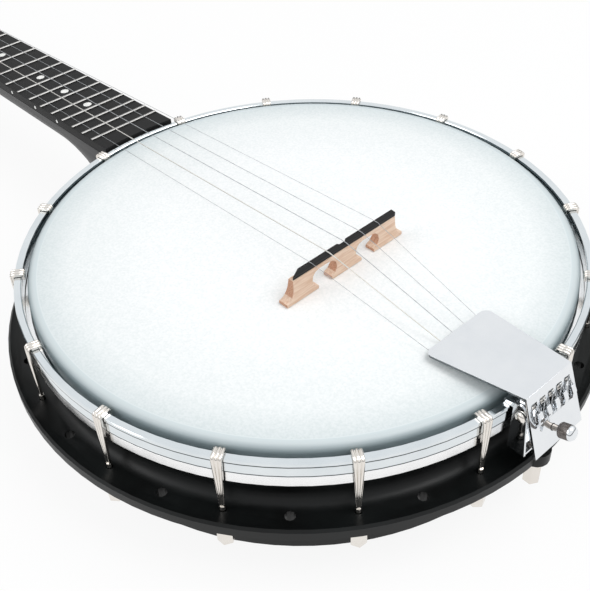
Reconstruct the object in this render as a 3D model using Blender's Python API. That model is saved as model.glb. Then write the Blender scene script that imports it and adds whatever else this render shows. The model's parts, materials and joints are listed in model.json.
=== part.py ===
"""Open-back five-string banjo, lying on the back of its rim.

Metres, +Z up, +X from the tailpiece to the headstock, +Y towards the fifth string.
The pot's axis is the Z axis of pot_frame. neck_frame lies on the fingerboard's surface where it
meets the hoop, and headstock_frame lies on the headstock's face, just behind the nut.
"""

import math

import bmesh
import bpy
from mathutils import Matrix, Vector

# Gaps
seat_gap = 0.0003
running_gap = 0.0003

# Rim, flange, head and hoops
rim_radius = 0.1397
rim_wall = 0.0120
rim_height = 0.0698
rim_foot_chamfer = 0.0015
bearing_edge_round = 0.0022
flange_level = 0.0360
flange_thickness = 0.0062
flange_width = 0.0175
flange_fillet = 0.0065
flange_lip_rise = 0.0012
flange_lip_width = 0.0040
vent_hole_radius = 0.0025
head_thickness = 0.0005
head_crown = 0.0033
skirt_end_gap = 0.0008
crown_gap = 0.0030
hoop_drop = 0.0018
hoop_height = 0.0088
hoop_wall = 0.0037
hoop_edge = 0.0004
hoop_bead_height = 0.0022
hoop_bead_step = 0.0003
flesh_hoop_height = 0.0063
flesh_hoop_wall = 0.0055

# Bracket hooks, each with its nut
hook_count = 16
hook_thickness = 0.0013
hook_width = 0.0050
hook_foot_width = 0.0019
hook_tip_drop = 0.0022
hook_bend = 0.0007
hook_rod_radius = 0.0013
hook_rod_shown = 0.0022
hook_nut_radius = 0.0042
hook_nut_length = 0.0155

# Neck and fingerboard
neck_angle = math.radians(2.6)
board_below_head = 0.0003
board_to_hoop = 0.0008
scale_length = 0.665
last_fret_from_end = 0.0139
fret_count = 22
fret_width = 0.0016
fret_height = 0.0010
board_thickness = 0.0050
board_width_at_last_fret = 0.0480
board_width_at_fifth_fret = 0.0386
narrow_width_at_shoulder = 0.0325
nut_width = 0.0300
shoulder_length = 0.0100
neck_depth_at_nut = 0.0150
neck_depth_at_heel = 0.0190
heel_depth = 0.0590
heel_flat = 0.0120
heel_run = 0.0660
nut_length = 0.0045
nut_above_string = 0.0004
pip_behind_fret = 0.0060
pip_inset = 0.0020
pip_radius = 0.0014
pip_depth = 0.0035

# Headstock
headstock_angle = math.radians(8.0)
headstock_length = 0.150
headstock_thickness = 0.0130
headstock_drop = 0.0015
headstock_width = 0.0640
headstock_throat = 0.0310
rod_cover_length = 0.0180
rod_cover_width = 0.0160
rod_cover_thickness = 0.0018
rod_cover_from_nut = 0.0060

# Headstock tuners
tuner_first_x = 0.0400
tuner_pitch = 0.0500
tuner_spread = 0.0340
post_radius = 0.0030
post_waist = 0.0023
post_rise = 0.0150
string_on_post = 0.0060
sleeve_wall = 0.0012
collar_width = 0.0020
collar_thickness = 0.0015
gear_case_depth = 0.0090
gear_case_width = 0.0180
gear_case_length = 0.0190
worm_offset = 0.0064
button_shaft_radius = 0.0019
button_reach = 0.0075
button_length = 0.0150
button_width = 0.0170
button_thickness = 0.0072

# Fifth-string tuner
fifth_tuner_behind_pip = 0.0220
fifth_tuner_drop = 0.0098
fifth_plug_radius = 0.0038
fifth_plug_length = 0.0110
fifth_core_radius = 0.0013
fifth_spool_radius = 0.0028
fifth_spool_length = 0.0070
fifth_case_radius = 0.0068
fifth_case_length = 0.0110
fifth_button_radius = 0.0080
fifth_button_length = 0.0140

# Bridge
bridge_compensation = 0.0077
bridge_offset = 0.0020
bridge_slant = math.radians(1.2)
bridge_base_height = 0.0134
bridge_top_height = 0.0023
bridge_foot_depth = 0.0063
bridge_top_depth = 0.0032
bridge_foot_width = 0.0210
bridge_foot_gap = 0.0090
bridge_foot_edge = 0.0018
bridge_end_flare = 0.0048
bridge_arch_width = 0.0165
bridge_arch_height = 0.0112

# Strings, from the first to the fifth
string_radii = (0.00013, 0.00016, 0.00021, 0.00030, 0.00013)
string_pitch_at_bridge = 0.0113
string_pitch_at_tail = 0.0057
string_pitch_at_nut = 0.0080
string_inset_at_nut = 0.0030
string_over_fret = 0.0007
string_past_end_plate = 0.0012

# Tailpiece
tail_gap = 0.0007
cover_thickness = 0.0012
cover_length = 0.0508
cover_width = 0.0312
cover_lip_width = 0.0420
cover_corner = 0.0040
cover_lip_height = 0.0034
cover_fold_height = 0.0081
end_plate_length = 0.0310
end_plate_width = 0.0330
end_plate_angle = math.radians(19.2)
tang_width = 0.0026
tang_thickness = 0.0009
tang_rise = 0.0026
tang_top = 0.0085
tang_root = 0.0165
slot_top = 0.0046
slot_side_gap = 0.0004
bracket_thickness = 0.0012
bracket_depth = 0.0088
bracket_width = 0.0300
bracket_above_flange = 0.0074
bracket_ear_rise = 0.0036
bracket_lip_width = 0.0200
bracket_lip_drop = 0.0030
pin_radius = 0.0014
pin_to_bracket = 0.0030
pin_below_hoop_top = 0.0023
pin_head_radius = 0.0027
pin_head_height = 0.0017
hinge_tab_radius = 0.0026
hinge_tab_thickness = 0.0010
fold_behind_pin = 0.0014
screw_from_fold = 0.0224
screw_offset = 0.0025
screw_radius = 0.0015
screw_tip_gap = 0.0008
knob_radius = 0.0036
knob_length = 0.0072
knob_clearance = 0.0040
tail_lobe_radius = 0.0067
tail_bolt_from_rim = 0.0143
tail_bolt_radius = 0.0016
tail_bolt_head_radius = 0.0028
tail_bolt_head_height = 0.0026

# Coordinator rod
rod_radius = 0.0039
rod_level = 0.0195
rod_in_heel = 0.0120
rod_nut_radius = 0.0070
rod_nut_length = 0.0060

# Facets
ring_steps = 96
round_steps = 16
hole_steps = 10
arc_steps = 5

# Radii and levels that follow from the sizes
rim_inner_radius = rim_radius - rim_wall
head_inner_radius = rim_radius + seat_gap
head_outer_radius = head_inner_radius + head_thickness
head_underside = rim_height + seat_gap
head_top = head_underside + head_thickness
hoop_top = head_top - hoop_drop
hoop_bottom = hoop_top - hoop_height
hoop_inner_radius = head_outer_radius + crown_gap
hoop_radius = hoop_inner_radius + hoop_wall
flesh_hoop_top = hoop_bottom - seat_gap
flesh_hoop_bottom = flesh_hoop_top - flesh_hoop_height
flesh_hoop_inner_radius = head_outer_radius + seat_gap
flesh_hoop_radius = flesh_hoop_inner_radius + flesh_hoop_wall
flange_underside = flange_level - flange_thickness
flange_top = flange_level + flange_lip_rise
flange_radius = rim_radius + flange_width
hook_radius = hoop_radius + seat_gap + hook_thickness / 2
hook_pitch = 2 * math.pi / hook_count

# The neck's own frame
neck_start = hoop_radius + board_to_hoop
board_level = head_top - board_below_head
nut_x = last_fret_from_end + scale_length * (1 - 2 ** (-fret_count / 12))
bridge_line = (scale_length - nut_x) * math.cos(neck_angle) - neck_start
neck_matrix = Matrix.Translation((neck_start, 0, board_level)) @ Matrix.Rotation(neck_angle, 4, "Y")


def fret_x(number):
    """Distance of a fret along the neck frame; fret 0 is the nut."""
    return nut_x - scale_length * (1 - 2 ** (-number / 12))


last_fret_x = fret_x(fret_count)
pip_x = fret_x(5) + pip_behind_fret
shoulder_x = pip_x + pip_radius


def between(start, end, share):
    """The value a share of the way from start to end."""
    return start + (end - start) * share


def treble_edge(x):
    """The fingerboard's first-string side, a straight line."""
    share = (x - last_fret_x) / (fret_x(5) - last_fret_x)
    return -between(board_width_at_last_fret, board_width_at_fifth_fret, share) / 2


def bass_edge(x):
    """The fingerboard's fifth-string side, which steps in behind the fifth string's pip."""
    share = (x - shoulder_x) / (nut_x - shoulder_x)
    narrow = treble_edge(x) + between(narrow_width_at_shoulder, nut_width, share)
    step = min(max((x - shoulder_x) / shoulder_length, 0), 1)
    ease = step * step * (3 - 2 * step)
    return between(-treble_edge(x), narrow, ease)


nut_middle = (treble_edge(nut_x) + bass_edge(nut_x)) / 2
headstock_x = nut_x + nut_length + 2 * seat_gap
headstock_matrix = neck_matrix @ Matrix.Translation((headstock_x, nut_middle, -headstock_drop))
headstock_matrix = headstock_matrix @ Matrix.Rotation(headstock_angle, 4, "Y")

# The bridge
bridge_x = -bridge_line - bridge_compensation
bridge_foot_level = head_top + seat_gap
bridge_top_level = bridge_foot_level + bridge_base_height + seat_gap + bridge_top_height

# The tailpiece, seen from the side: x along the strings, z up
bracket_back_x = -(hoop_radius + tail_gap)
pin_x = bracket_back_x - bracket_thickness - pin_to_bracket
pin_z = hoop_top - pin_below_hoop_top
fold = Vector((pin_x - fold_behind_pin, 0, head_top + cover_fold_height))
cover_slope = math.asin((cover_fold_height - cover_lip_height) / cover_length)
cover_down = Vector((math.sin(cover_slope), 0, -math.cos(cover_slope)))
cover_lip = fold + cover_length * Vector((math.cos(cover_slope), 0, -math.sin(cover_slope)))
plate_down = Vector((-math.sin(end_plate_angle), 0, -math.cos(end_plate_angle)))
plate_in = Vector((math.cos(end_plate_angle), 0, -math.sin(end_plate_angle)))
plate_matrix = Matrix((
    (plate_down.x, 0, plate_in.x, fold.x),
    (0, 1, 0, 0),
    (plate_down.z, 0, plate_in.z, fold.z),
    (0, 0, 0, 1),
))
bracket_bottom = flange_top + bracket_above_flange
tail_bolt_x = -(rim_radius + tail_bolt_from_rim)

# The model's middle lies over the origin
knob_end = plate_matrix @ Vector((screw_from_fold, 0, -(knob_clearance + knob_length)))
tail_end_x = knob_end.x - knob_radius * math.sin(end_plate_angle) / 2
head_end_x = (headstock_matrix @ Vector((headstock_length, 0, 0))).x
pot_x = -(tail_end_x + head_end_x) / 2


def mesh_of(bm):
    """Weld what coincides, turn the faces outwards, and make a mesh of it."""
    bmesh.ops.remove_doubles(bm, verts=bm.verts, dist=1e-7)
    bmesh.ops.recalc_face_normals(bm, faces=bm.faces)
    mesh = bpy.data.meshes.new("shape")
    bm.to_mesh(mesh)
    bm.free()
    return mesh


def moved(mesh, matrix):
    """The mesh after a move, turn or mirror."""
    mesh.transform(matrix)
    if matrix.determinant() < 0:
        mesh.flip_normals()
    return mesh


def turned(profile, steps):
    """A turned solid about Z from (radius, height) points, closed or ending on the axis."""
    bm = bmesh.new()
    points = [bm.verts.new((radius, 0, height)) for radius, height in profile]
    if profile[0][0] > 0:
        points.append(points[0])
    edges = [bm.edges.new(pair) for pair in zip(points, points[1:])]
    geometry = bm.verts[:] + edges
    bmesh.ops.spin(bm, geom=geometry, cent=(0, 0, 0), axis=(0, 0, 1), dvec=(0, 0, 0),
                   angle=2 * math.pi, steps=steps, use_merge=True, use_duplicate=False)
    return mesh_of(bm)


def prism(outline, low, high):
    """A flat outline in X and Y, raised along Z."""
    bm = bmesh.new()
    face = bm.faces.new([bm.verts.new((x, y, low)) for x, y in outline])
    raised = bmesh.ops.extrude_face_region(bm, geom=[face])["geom"]
    corners = [item for item in raised if isinstance(item, bmesh.types.BMVert)]
    bmesh.ops.translate(bm, verts=corners, vec=(0, 0, high - low))
    return mesh_of(bm)


def side_prism(outline, low, high):
    """A flat outline in X and Z, raised along Y."""
    return moved(prism(outline, -high, -low), Matrix.Rotation(math.pi / 2, 4, "X"))


def box(low, high):
    """A block between two corners."""
    outline = ((low[0], low[1]), (high[0], low[1]), (high[0], high[1]), (low[0], high[1]))
    return prism(outline, low[2], high[2])


def cylinder(radius, low, high, steps=hole_steps):
    """A round bar along Z."""
    return prism(circle(radius, steps), low, high)


def loft(rings):
    """A closed solid through rings that all have as many points."""
    bm = bmesh.new()
    rows = [[bm.verts.new(point) for point in ring] for ring in rings]
    for row, following in zip(rows, rows[1:]):
        for index, corner in enumerate(row):
            after = (index + 1) % len(row)
            bm.faces.new((corner, row[after], following[after], following[index]))
    bm.faces.new(rows[0])
    bm.faces.new(rows[-1])
    return mesh_of(bm)


def circle(radius, steps, centre=(0, 0)):
    """Points of a full circle."""
    angles = [2 * math.pi * index / steps for index in range(steps)]
    return [(centre[0] + radius * math.cos(angle), centre[1] + radius * math.sin(angle)) for angle in angles]


def arc(centre, radius, start, end, steps=arc_steps):
    """Points of an arc between two angles in degrees, both ends included."""
    angles = [math.radians(between(start, end, index / steps)) for index in range(steps + 1)]
    return [(centre[0] + radius * math.cos(angle), centre[1] + radius * math.sin(angle)) for angle in angles]


def strip(points, thickness):
    """The closed outline of a bent sheet of even thickness about a line of points."""
    line = [Vector(point) for point in points]
    sides = ([], [])
    for index, point in enumerate(line):
        before = (point - line[index - 1]).normalized() if index else None
        after = (line[index + 1] - point).normalized() if index + 1 < len(line) else None
        before = before or after
        after = after or before
        normal = Vector((-before.y - after.y, before.x + after.x)).normalized()
        reach = thickness / 2 / normal.dot(Vector((-before.y, before.x)))
        sides[0].append(tuple(point + normal * reach))
        sides[1].append(tuple(point - normal * reach))
    return sides[0] + sides[1][::-1]


def together(meshes):
    """Meshes that don't touch, as one mesh to cut or join with."""
    bm = bmesh.new()
    for mesh in meshes:
        bm.from_mesh(mesh)
    return mesh_of(bm)


def combined(base, tool, operation):
    """The base mesh joined with the tool, cut by it, or kept only inside it."""
    pieces = []
    for mesh in (base, tool):
        piece = bpy.data.objects.new("piece", mesh)
        bpy.context.scene.collection.objects.link(piece)
        pieces.append(piece)
    modifier = pieces[0].modifiers.new("combine", "BOOLEAN")
    modifier.object = pieces[1]
    modifier.operation = operation
    modifier.solver = "EXACT"
    graph = bpy.context.evaluated_depsgraph_get()
    result = bpy.data.meshes.new_from_object(pieces[0].evaluated_get(graph))
    for piece in pieces:
        bpy.data.objects.remove(piece)
    return result


def cut(base, *tools):
    """The base without each tool."""
    for tool in tools:
        base = combined(base, tool, "DIFFERENCE")
    return base


def joined(base, *tools):
    """The base and each tool as one body."""
    for tool in tools:
        base = combined(base, tool, "UNION")
    return base


def frame(name, parent, matrix):
    """An empty that carries the pieces of one frame."""
    empty = bpy.data.objects.new(name, None)
    bpy.context.scene.collection.objects.link(empty)
    empty.parent = parent
    empty.matrix_basis = matrix
    return empty


def add(name, mesh, finish, parent, place=None):
    """One piece. Its mesh is in its parent's frame, and place moves its origin onto its joint's axis."""
    mesh.name = name
    mesh.materials.clear()
    mesh.materials.append(finish)
    mesh.shade_smooth()
    mesh.set_sharp_from_angle(angle=math.radians(35))
    piece = bpy.data.objects.new(name, mesh)
    bpy.context.scene.collection.objects.link(piece)
    piece.parent = parent
    if place:
        mesh.transform(place.inverted())
        piece.matrix_basis = place
    return piece


def finish_of(name, colour, roughness, metallic=0.0):
    """A plain Principled finish from an sRGB hex colour."""
    channels = [int(colour[index:index + 2], 16) / 255 for index in (1, 3, 5)]
    linear = [value / 12.92 if value <= 0.04045 else ((value + 0.055) / 1.055) ** 2.4 for value in channels]
    made = bpy.data.materials.new(name)
    made.use_nodes = True
    shader = made.node_tree.nodes["Principled BSDF"]
    shader.inputs["Base Color"].default_value = (*linear, 1)
    shader.inputs["Roughness"].default_value = roughness
    shader.inputs["Metallic"].default_value = metallic
    return made


def ring_about_x(matrix_x, matrix_z):
    """A turn that lays a solid made along Z along X, with its start at the given place."""
    return Matrix.Translation((matrix_x, 0, matrix_z)) @ Matrix.Rotation(math.pi / 2, 4, "Y")


def rim_mesh():
    """The moulded rim: wall, bearing edge, flange with its holes, and the tail lobe."""
    fillet_centre = (rim_radius + flange_fillet, flange_level + flange_fillet)
    edge_centre = (rim_radius - bearing_edge_round, rim_height - bearing_edge_round)
    profile = [
        (rim_inner_radius + rim_foot_chamfer, 0),
        (rim_radius - rim_foot_chamfer, 0),
        (rim_radius, rim_foot_chamfer),
        (rim_radius, flange_underside - rim_foot_chamfer),
        (rim_radius + rim_foot_chamfer, flange_underside),
        (flange_radius - flange_lip_rise, flange_underside),
        (flange_radius, flange_underside + flange_lip_rise),
        (flange_radius, flange_top - flange_lip_rise),
        (flange_radius - flange_lip_rise, flange_top),
        (flange_radius - flange_lip_width, flange_level),
    ]
    profile += arc(fillet_centre, flange_fillet, 270, 180)
    profile += arc(edge_centre, bearing_edge_round, 0, 90, 3)
    profile += [
        (rim_inner_radius + rim_wall / 3, rim_height - rim_wall / 4),
        (rim_inner_radius, rim_height - rim_wall / 2),
        (rim_inner_radius, rim_foot_chamfer),
    ]
    rim = turned(profile, ring_steps)
    lobe_low = flange_underside + seat_gap
    lobe = cylinder(tail_lobe_radius, lobe_low, flange_top - seat_gap, round_steps)
    rim = joined(rim, moved(lobe, Matrix.Translation((tail_bolt_x, 0, 0))))
    hole_low = flange_underside - 0.002
    hole_high = flange_top + 0.003
    hook_hole = hook_rod_radius + running_gap
    holes = []
    for index in range(hook_count):
        turn = Matrix.Rotation((index + 0.5) * hook_pitch, 4, "Z") @ Matrix.Translation((-hook_radius, 0, 0))
        holes.append(moved(cylinder(hook_hole, hole_low, hole_high), turn))
    for index in range(1, hook_count):
        if index == hook_count // 2:
            continue
        turn = Matrix.Rotation(index * hook_pitch, 4, "Z") @ Matrix.Translation((-hook_radius, 0, 0))
        holes.append(moved(cylinder(vent_hole_radius, hole_low, hole_high), turn))
    bolt_hole = cylinder(tail_bolt_radius + running_gap, hole_low, hole_high)
    holes.append(moved(bolt_hole, Matrix.Translation((tail_bolt_x, 0, 0))))
    for side in (-1, 1):
        rod_hole = cylinder(rod_radius + seat_gap, -rim_wall, rim_wall, round_steps)
        holes.append(moved(rod_hole, ring_about_x(side * (rim_radius - rim_wall / 2), rod_level)))
    return cut(rim, together(holes))


def head_mesh():
    """The drum head: a flat film, its crown, and the skirt that the flesh hoop holds."""
    skirt_end = flesh_hoop_bottom + skirt_end_gap
    outer_centre = (head_outer_radius - head_crown, head_top - head_crown)
    inner_crown = head_crown - head_thickness
    profile = [(0, head_top)]
    profile += arc(outer_centre, head_crown, 90, 0)
    profile += [(head_outer_radius, skirt_end), (head_inner_radius, skirt_end)]
    profile += arc(outer_centre, inner_crown, 0, 90)
    profile += [(0, head_underside)]
    return turned(profile, ring_steps)


def hoop_mesh(inner, outer, low, high):
    """A hoop of rectangular section with eased edges."""
    profile = [
        (inner + hoop_edge, low), (outer - hoop_edge, low), (outer, low + hoop_edge),
        (outer, high - hoop_edge), (outer - hoop_edge, high), (inner + hoop_edge, high),
        (inner, high - hoop_edge), (inner, low + hoop_edge),
    ]
    return turned(profile, ring_steps)


def tension_hoop_mesh():
    """The tension hoop, with a bead round the top of its outer face."""
    step = hoop_radius - hoop_bead_step
    bead = hoop_top - hoop_bead_height
    profile = [
        (hoop_inner_radius + hoop_edge, hoop_bottom), (step - hoop_edge, hoop_bottom),
        (step, hoop_bottom + hoop_edge), (step, bead - hoop_bead_step), (hoop_radius, bead),
        (hoop_radius, hoop_top - hoop_edge), (hoop_radius - hoop_edge, hoop_top),
        (hoop_inner_radius + hoop_edge, hoop_top), (hoop_inner_radius, hoop_top - hoop_edge),
        (hoop_inner_radius, hoop_bottom + hoop_edge),
    ]
    return turned(profile, ring_steps)


def hex_nut(radius, length, bore):
    """A hexagon nut along Z from 0 up, its bore wide enough at the flats."""
    edge = radius / 8
    hole = bore / math.cos(math.pi / 6)
    profile = [(hole, 0), (radius - edge, 0), (radius, edge), (radius, length - edge),
               (radius - edge, length), (hole, length)]
    return turned(profile, 6)


def hook_mesh():
    """A flat hook over the hoop, its rod through the flange, and its nut beneath."""
    half = hook_thickness / 2
    over = hoop_top + seat_gap + half
    inner = hoop_inner_radius - seat_gap - half
    taper_end = flange_level + hook_rod_shown
    path = [
        (inner, hoop_top - hook_tip_drop, hook_width * 0.4),
        (inner, over - hook_bend, hook_width * 0.5),
        (inner + hook_bend, over, hook_width * 0.5),
        (hook_radius - hook_bend, over, hook_width * 0.5),
        (hook_radius, over - hook_bend, hook_width * 0.48),
        (hook_radius, hoop_bottom, hook_width * 0.42),
        (hook_radius, taper_end, hook_foot_width * 0.5),
    ]
    outline = strip([(r, z) for r, z, width in path], hook_thickness)
    count = len(path)
    rings = []
    for index, (r, z, width) in enumerate(path):
        first = outline[index]
        second = outline[2 * count - 1 - index]
        rings.append([
            (first[0], width, first[1]), (first[0], -width, first[1]),
            (second[0], -width, second[1]), (second[0], width, second[1]),
        ])
    nut_top = flange_underside - seat_gap
    nut_profile = [
        (0, nut_top - hook_nut_length), (hook_nut_radius * 0.7, nut_top - hook_nut_length),
        (hook_nut_radius, nut_top - hook_nut_length * 0.9), (hook_nut_radius, nut_top - 0.0008),
        (hook_nut_radius * 0.85, nut_top), (0, nut_top),
    ]
    place = Matrix.Translation((hook_radius, 0, 0))
    rod = moved(cylinder(hook_rod_radius, nut_top - 0.002, taper_end + 0.0006, 8), place)
    return joined(loft(rings), rod, moved(turned(nut_profile, 6), place))


def pot_room():
    """The space that the rim, flange, hoops and head take, which the neck's end fits round."""
    wall = rim_radius + seat_gap
    lip = flange_radius + seat_gap
    profile = [
        (0, -0.02), (wall, -0.02), (wall, flange_underside - rim_foot_chamfer - seat_gap),
        (wall + rim_foot_chamfer, flange_underside - seat_gap), (lip, flange_underside - seat_gap),
        (lip, flange_top + seat_gap), (wall + flange_fillet, flange_top + seat_gap),
        (wall, flange_top + flange_fillet + seat_gap), (wall, flesh_hoop_bottom - seat_gap),
        (neck_start, flesh_hoop_bottom - seat_gap), (neck_start, head_top + 0.03), (0, head_top + 0.03),
    ]
    return moved(turned(profile, ring_steps), neck_matrix.inverted())


def board_stations(start, end):
    """Places along the neck where its outline bends, and a few between."""
    inside = [last_fret_x, shoulder_x] + [shoulder_x + shoulder_length * index / 5 for index in range(1, 6)]
    return [start] + [x for x in inside if start < x < end] + [end]


def fingerboard_mesh():
    """The board with its frets, its curved end at the hoop, and the hole for the pip."""
    stations = board_stations(-0.010, nut_x)
    outline = [(x, treble_edge(x)) for x in stations] + [(x, bass_edge(x)) for x in reversed(stations)]
    board = cut(prism(outline, -board_thickness, 0), pot_room())
    frets = []
    for number in range(1, fret_count + 1):
        x = fret_x(number)
        low = treble_edge(x) + seat_gap
        high = bass_edge(x) - seat_gap
        section = (
            (x - fret_width / 2, -fret_height), (x + fret_width / 2, -fret_height),
            (x + fret_width / 2, fret_height / 2), (x + fret_width / 4, fret_height),
            (x - fret_width / 4, fret_height), (x - fret_width / 2, fret_height / 2),
        )
        frets.append(side_prism(section, low, high))
    board = joined(board, together(frets))
    pip_hole = cylinder(pip_radius + seat_gap, -pip_depth - seat_gap, 0.005)
    return cut(board, moved(pip_hole, Matrix.Translation((pip_x, pip_y, 0))))


pip_y = bass_edge(pip_x) - pip_inset


def neck_section(x, depth):
    """One cross-section of the neck: flat under the board, round behind."""
    top = -board_thickness - seat_gap
    low_y = treble_edge(x)
    high_y = bass_edge(x)
    middle = (low_y + high_y) / 2
    half = (high_y - low_y) / 2
    points = []
    steps = 14
    for index in range(steps + 1):
        angle = math.pi * index / steps
        side = math.cos(angle)
        spread = math.copysign(abs(side) ** 0.8, side)
        points.append((x, middle + half * spread, top - depth * math.sin(angle) ** 0.9))
    return points


def neck_depth(x):
    """The neck's depth under the board, growing into the heel."""
    plain = between(neck_depth_at_heel, neck_depth_at_nut, max(x, 0) / nut_x)
    share = min(max((x - heel_flat) / (heel_run - heel_flat), 0), 1)
    return between(heel_depth - board_thickness, plain, 1 - (1 - share) ** 2.4)


def headstock_outline():
    """The headstock seen from the front, the same on both sides."""
    half = headstock_width / 2
    throat = headstock_throat / 2
    length = headstock_length
    flare = between(0, tuner_first_x, 0.6)
    side = [
        (0, throat), (flare * 0.35, throat + 0.001), (flare * 0.7, between(throat, half, 0.45)),
        (flare, half * 0.93), (flare * 1.25, half * 0.985), (flare * 1.9, half * 0.96),
        (length * 0.52, half * 0.93), (length * 0.68, half * 0.955), (length * 0.82, half),
        (length * 0.90, half * 0.985), (length * 0.945, half * 0.86), (length * 0.965, half * 0.62),
        (length * 0.975, half * 0.36), (length, half * 0.14),
    ]
    return [(x, -y) for x, y in side] + [(x, y) for x, y in reversed(side)]


def tuner_places():
    """The four posts on the headstock, as (x, y, side, string number)."""
    first = tuner_first_x
    second = tuner_first_x + tuner_pitch
    half = tuner_spread / 2
    return [(first, -half, -1, 1), (second, -half, -1, 2), (second, half, 1, 3), (first, half, 1, 4)]


def neck_mesh():
    """Neck, heel and headstock in one, cut to the pot and to what it holds."""
    start = -(neck_start - rim_radius) - 0.004
    end = headstock_x + 0.020
    stations = [start, 0, heel_flat] + [between(heel_flat, heel_run, index / 7) for index in range(1, 8)]
    stations += [0.150, 0.240] + board_stations(shoulder_x, nut_x)[:-1] + [headstock_x]
    stations = sorted(set(stations))
    rings = [neck_section(x, neck_depth(x)) for x in stations]
    rings.append(neck_section(end, neck_depth_at_nut * 0.6))
    body = cut(loft(rings), pot_room())
    slab = prism(headstock_outline(), -headstock_thickness, 0)
    sleeve_hole = post_radius + running_gap + sleeve_wall + seat_gap
    holes = []
    for x, y, side, number in tuner_places():
        hole = cylinder(sleeve_hole, -headstock_thickness - 0.002, 0.002, round_steps)
        holes.append(moved(hole, Matrix.Translation((x, y, 0))))
    slab = cut(slab, together(holes))
    slab = moved(slab, neck_matrix.inverted() @ headstock_matrix)
    neck = joined(body, slab)
    in_neck = neck_matrix.inverted()
    rod_end = rim_radius + seat_gap + rod_in_heel + seat_gap
    rod_hole = cylinder(rod_radius + seat_gap, rim_radius - 0.004, rod_end, round_steps)
    rod_hole = moved(rod_hole, in_neck @ ring_about_x(0, rod_level))
    plug_hole = cylinder(fifth_plug_radius + seat_gap, -fifth_plug_length - seat_gap, 0.020, round_steps)
    nut_room = box((nut_x - 0.002, -board_width_at_last_fret, -board_thickness - seat_gap),
                   (headstock_x, board_width_at_last_fret, 0.02))
    return cut(neck, rod_hole, moved(plug_hole, fifth_tuner_matrix), nut_room)


fifth_tuner_x = pip_x + fifth_tuner_behind_pip
fifth_tuner_y = bass_edge(fifth_tuner_x)
fifth_tuner_matrix = Matrix.Translation((fifth_tuner_x, fifth_tuner_y, -fifth_tuner_drop))
fifth_tuner_matrix = fifth_tuner_matrix @ Matrix.Rotation(-math.pi / 2, 4, "X")


def string_level(radius):
    """Height of a string's middle over the board at the nut."""
    return fret_height + string_over_fret + radius


def nut_string_y(number):
    """A string's place across the nut, the first string on the treble side."""
    return treble_edge(nut_x) + string_inset_at_nut + (number - 1) * string_pitch_at_nut


def bridge_string_y(number):
    """A string's place across the bridge."""
    return bridge_offset + (number - 3) * string_pitch_at_bridge


def tail_string_y(number):
    """A string's place across the tailpiece."""
    return (number - 3) * string_pitch_at_tail


def nut_mesh():
    """The nut, standing on the neck between board and headstock, with four slots."""
    start = nut_x + seat_gap
    end = start + nut_length
    top = string_level(string_radii[3]) + nut_above_string
    low = (start, treble_edge(nut_x) + seat_gap, -board_thickness)
    high = (end, bass_edge(nut_x) - seat_gap, top)
    slots = []
    for number in range(1, 5):
        radius = string_radii[number - 1]
        half = radius + seat_gap
        floor = string_level(radius) - radius - seat_gap
        y = nut_string_y(number)
        slots.append(box((start - 0.002, y - half, floor), (end + 0.002, y + half, top + 0.002)))
    return cut(box(low, high), together(slots))


def pip_mesh():
    """The fifth string's own nut, a small pin set in the board."""
    top = string_level(string_radii[4]) - string_radii[4] - seat_gap
    return moved(cylinder(pip_radius, -pip_depth, top, 8), Matrix.Translation((pip_x, pip_y, 0)))


def bridge_base_mesh():
    """Three splayed feet under one beam, in the bridge's own frame."""
    pitch = bridge_foot_width + bridge_foot_gap
    reach = pitch + bridge_foot_width / 2
    height = bridge_base_height
    edge = bridge_foot_edge
    flare = arc_between((reach, edge), (reach - bridge_end_flare, height * 0.72))
    outline = [(reach, 0)] + flare + [(reach - bridge_end_flare, height)]
    outline += [(-y, z) for y, z in reversed(outline)]
    for side in (-1, 1):
        outline += bridge_arch(side * pitch / 2)
    rings = []
    for share in (0, 1):
        front = between(-bridge_foot_depth / 2, bridge_foot_depth / 2, share)
        top = between(-bridge_foot_depth / 2 + 0.0009, -bridge_foot_depth / 2 + 0.0009 + bridge_top_depth, share)
        rings.append([(between(front, top, z / height), y, z) for y, z in outline])
    return loft(rings)


def arc_between(start, end):
    """A hollow quarter curve from a foot's tip up to the beam."""
    steps = arc_steps + 1
    points = []
    for index in range(steps + 1):
        angle = math.pi / 2 * index / steps
        points.append((between(start[0], end[0], math.sin(angle)), between(end[1], start[1], math.cos(angle))))
    return points


def bridge_arch(middle):
    """One arch between two feet, from the -Y foot's tip to the +Y foot's tip."""
    half_gap = bridge_foot_gap / 2
    half = bridge_arch_width / 2
    waist = bridge_foot_edge + (bridge_arch_height - bridge_foot_edge) * 0.45
    side = [(half_gap, 0), (half_gap, bridge_foot_edge)]
    side += [(between(half_gap, half, 0.62), between(bridge_foot_edge, waist, 0.35)), (half, waist)]
    side += [(half * 0.93, between(waist, bridge_arch_height, 0.55))]
    side += [(half * 0.72, between(waist, bridge_arch_height, 0.88)), (half * 0.40, bridge_arch_height)]
    return [(middle - y, z) for y, z in side] + [(middle + y, z) for y, z in reversed(side)]


def bridge_top_mesh():
    """The dark cap, with its notch under the third string and its cut corner."""
    reach = bridge_foot_width * 1.5 + bridge_foot_gap - bridge_end_flare
    tail = -bridge_foot_depth / 2 + 0.0009
    back = tail + bridge_top_depth
    notch = 0.0011
    third = bridge_string_y(3) - bridge_offset
    outline = [
        (tail, -reach), (back, -reach - 0.0004), (back, third - 0.0026), (back - notch, third - 0.0012),
        (back - notch, third + 0.0026), (back, third + 0.0032), (back, reach - 0.0062), (tail, reach),
    ]
    low = bridge_base_height + seat_gap
    return prism(outline, low, low + bridge_top_height)


def bridge_edge_x(y, offset):
    """The place along the strings of a line on the slanted bridge, offset from its middle."""
    return bridge_x + offset - (y - bridge_offset) * math.tan(bridge_slant)


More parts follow.
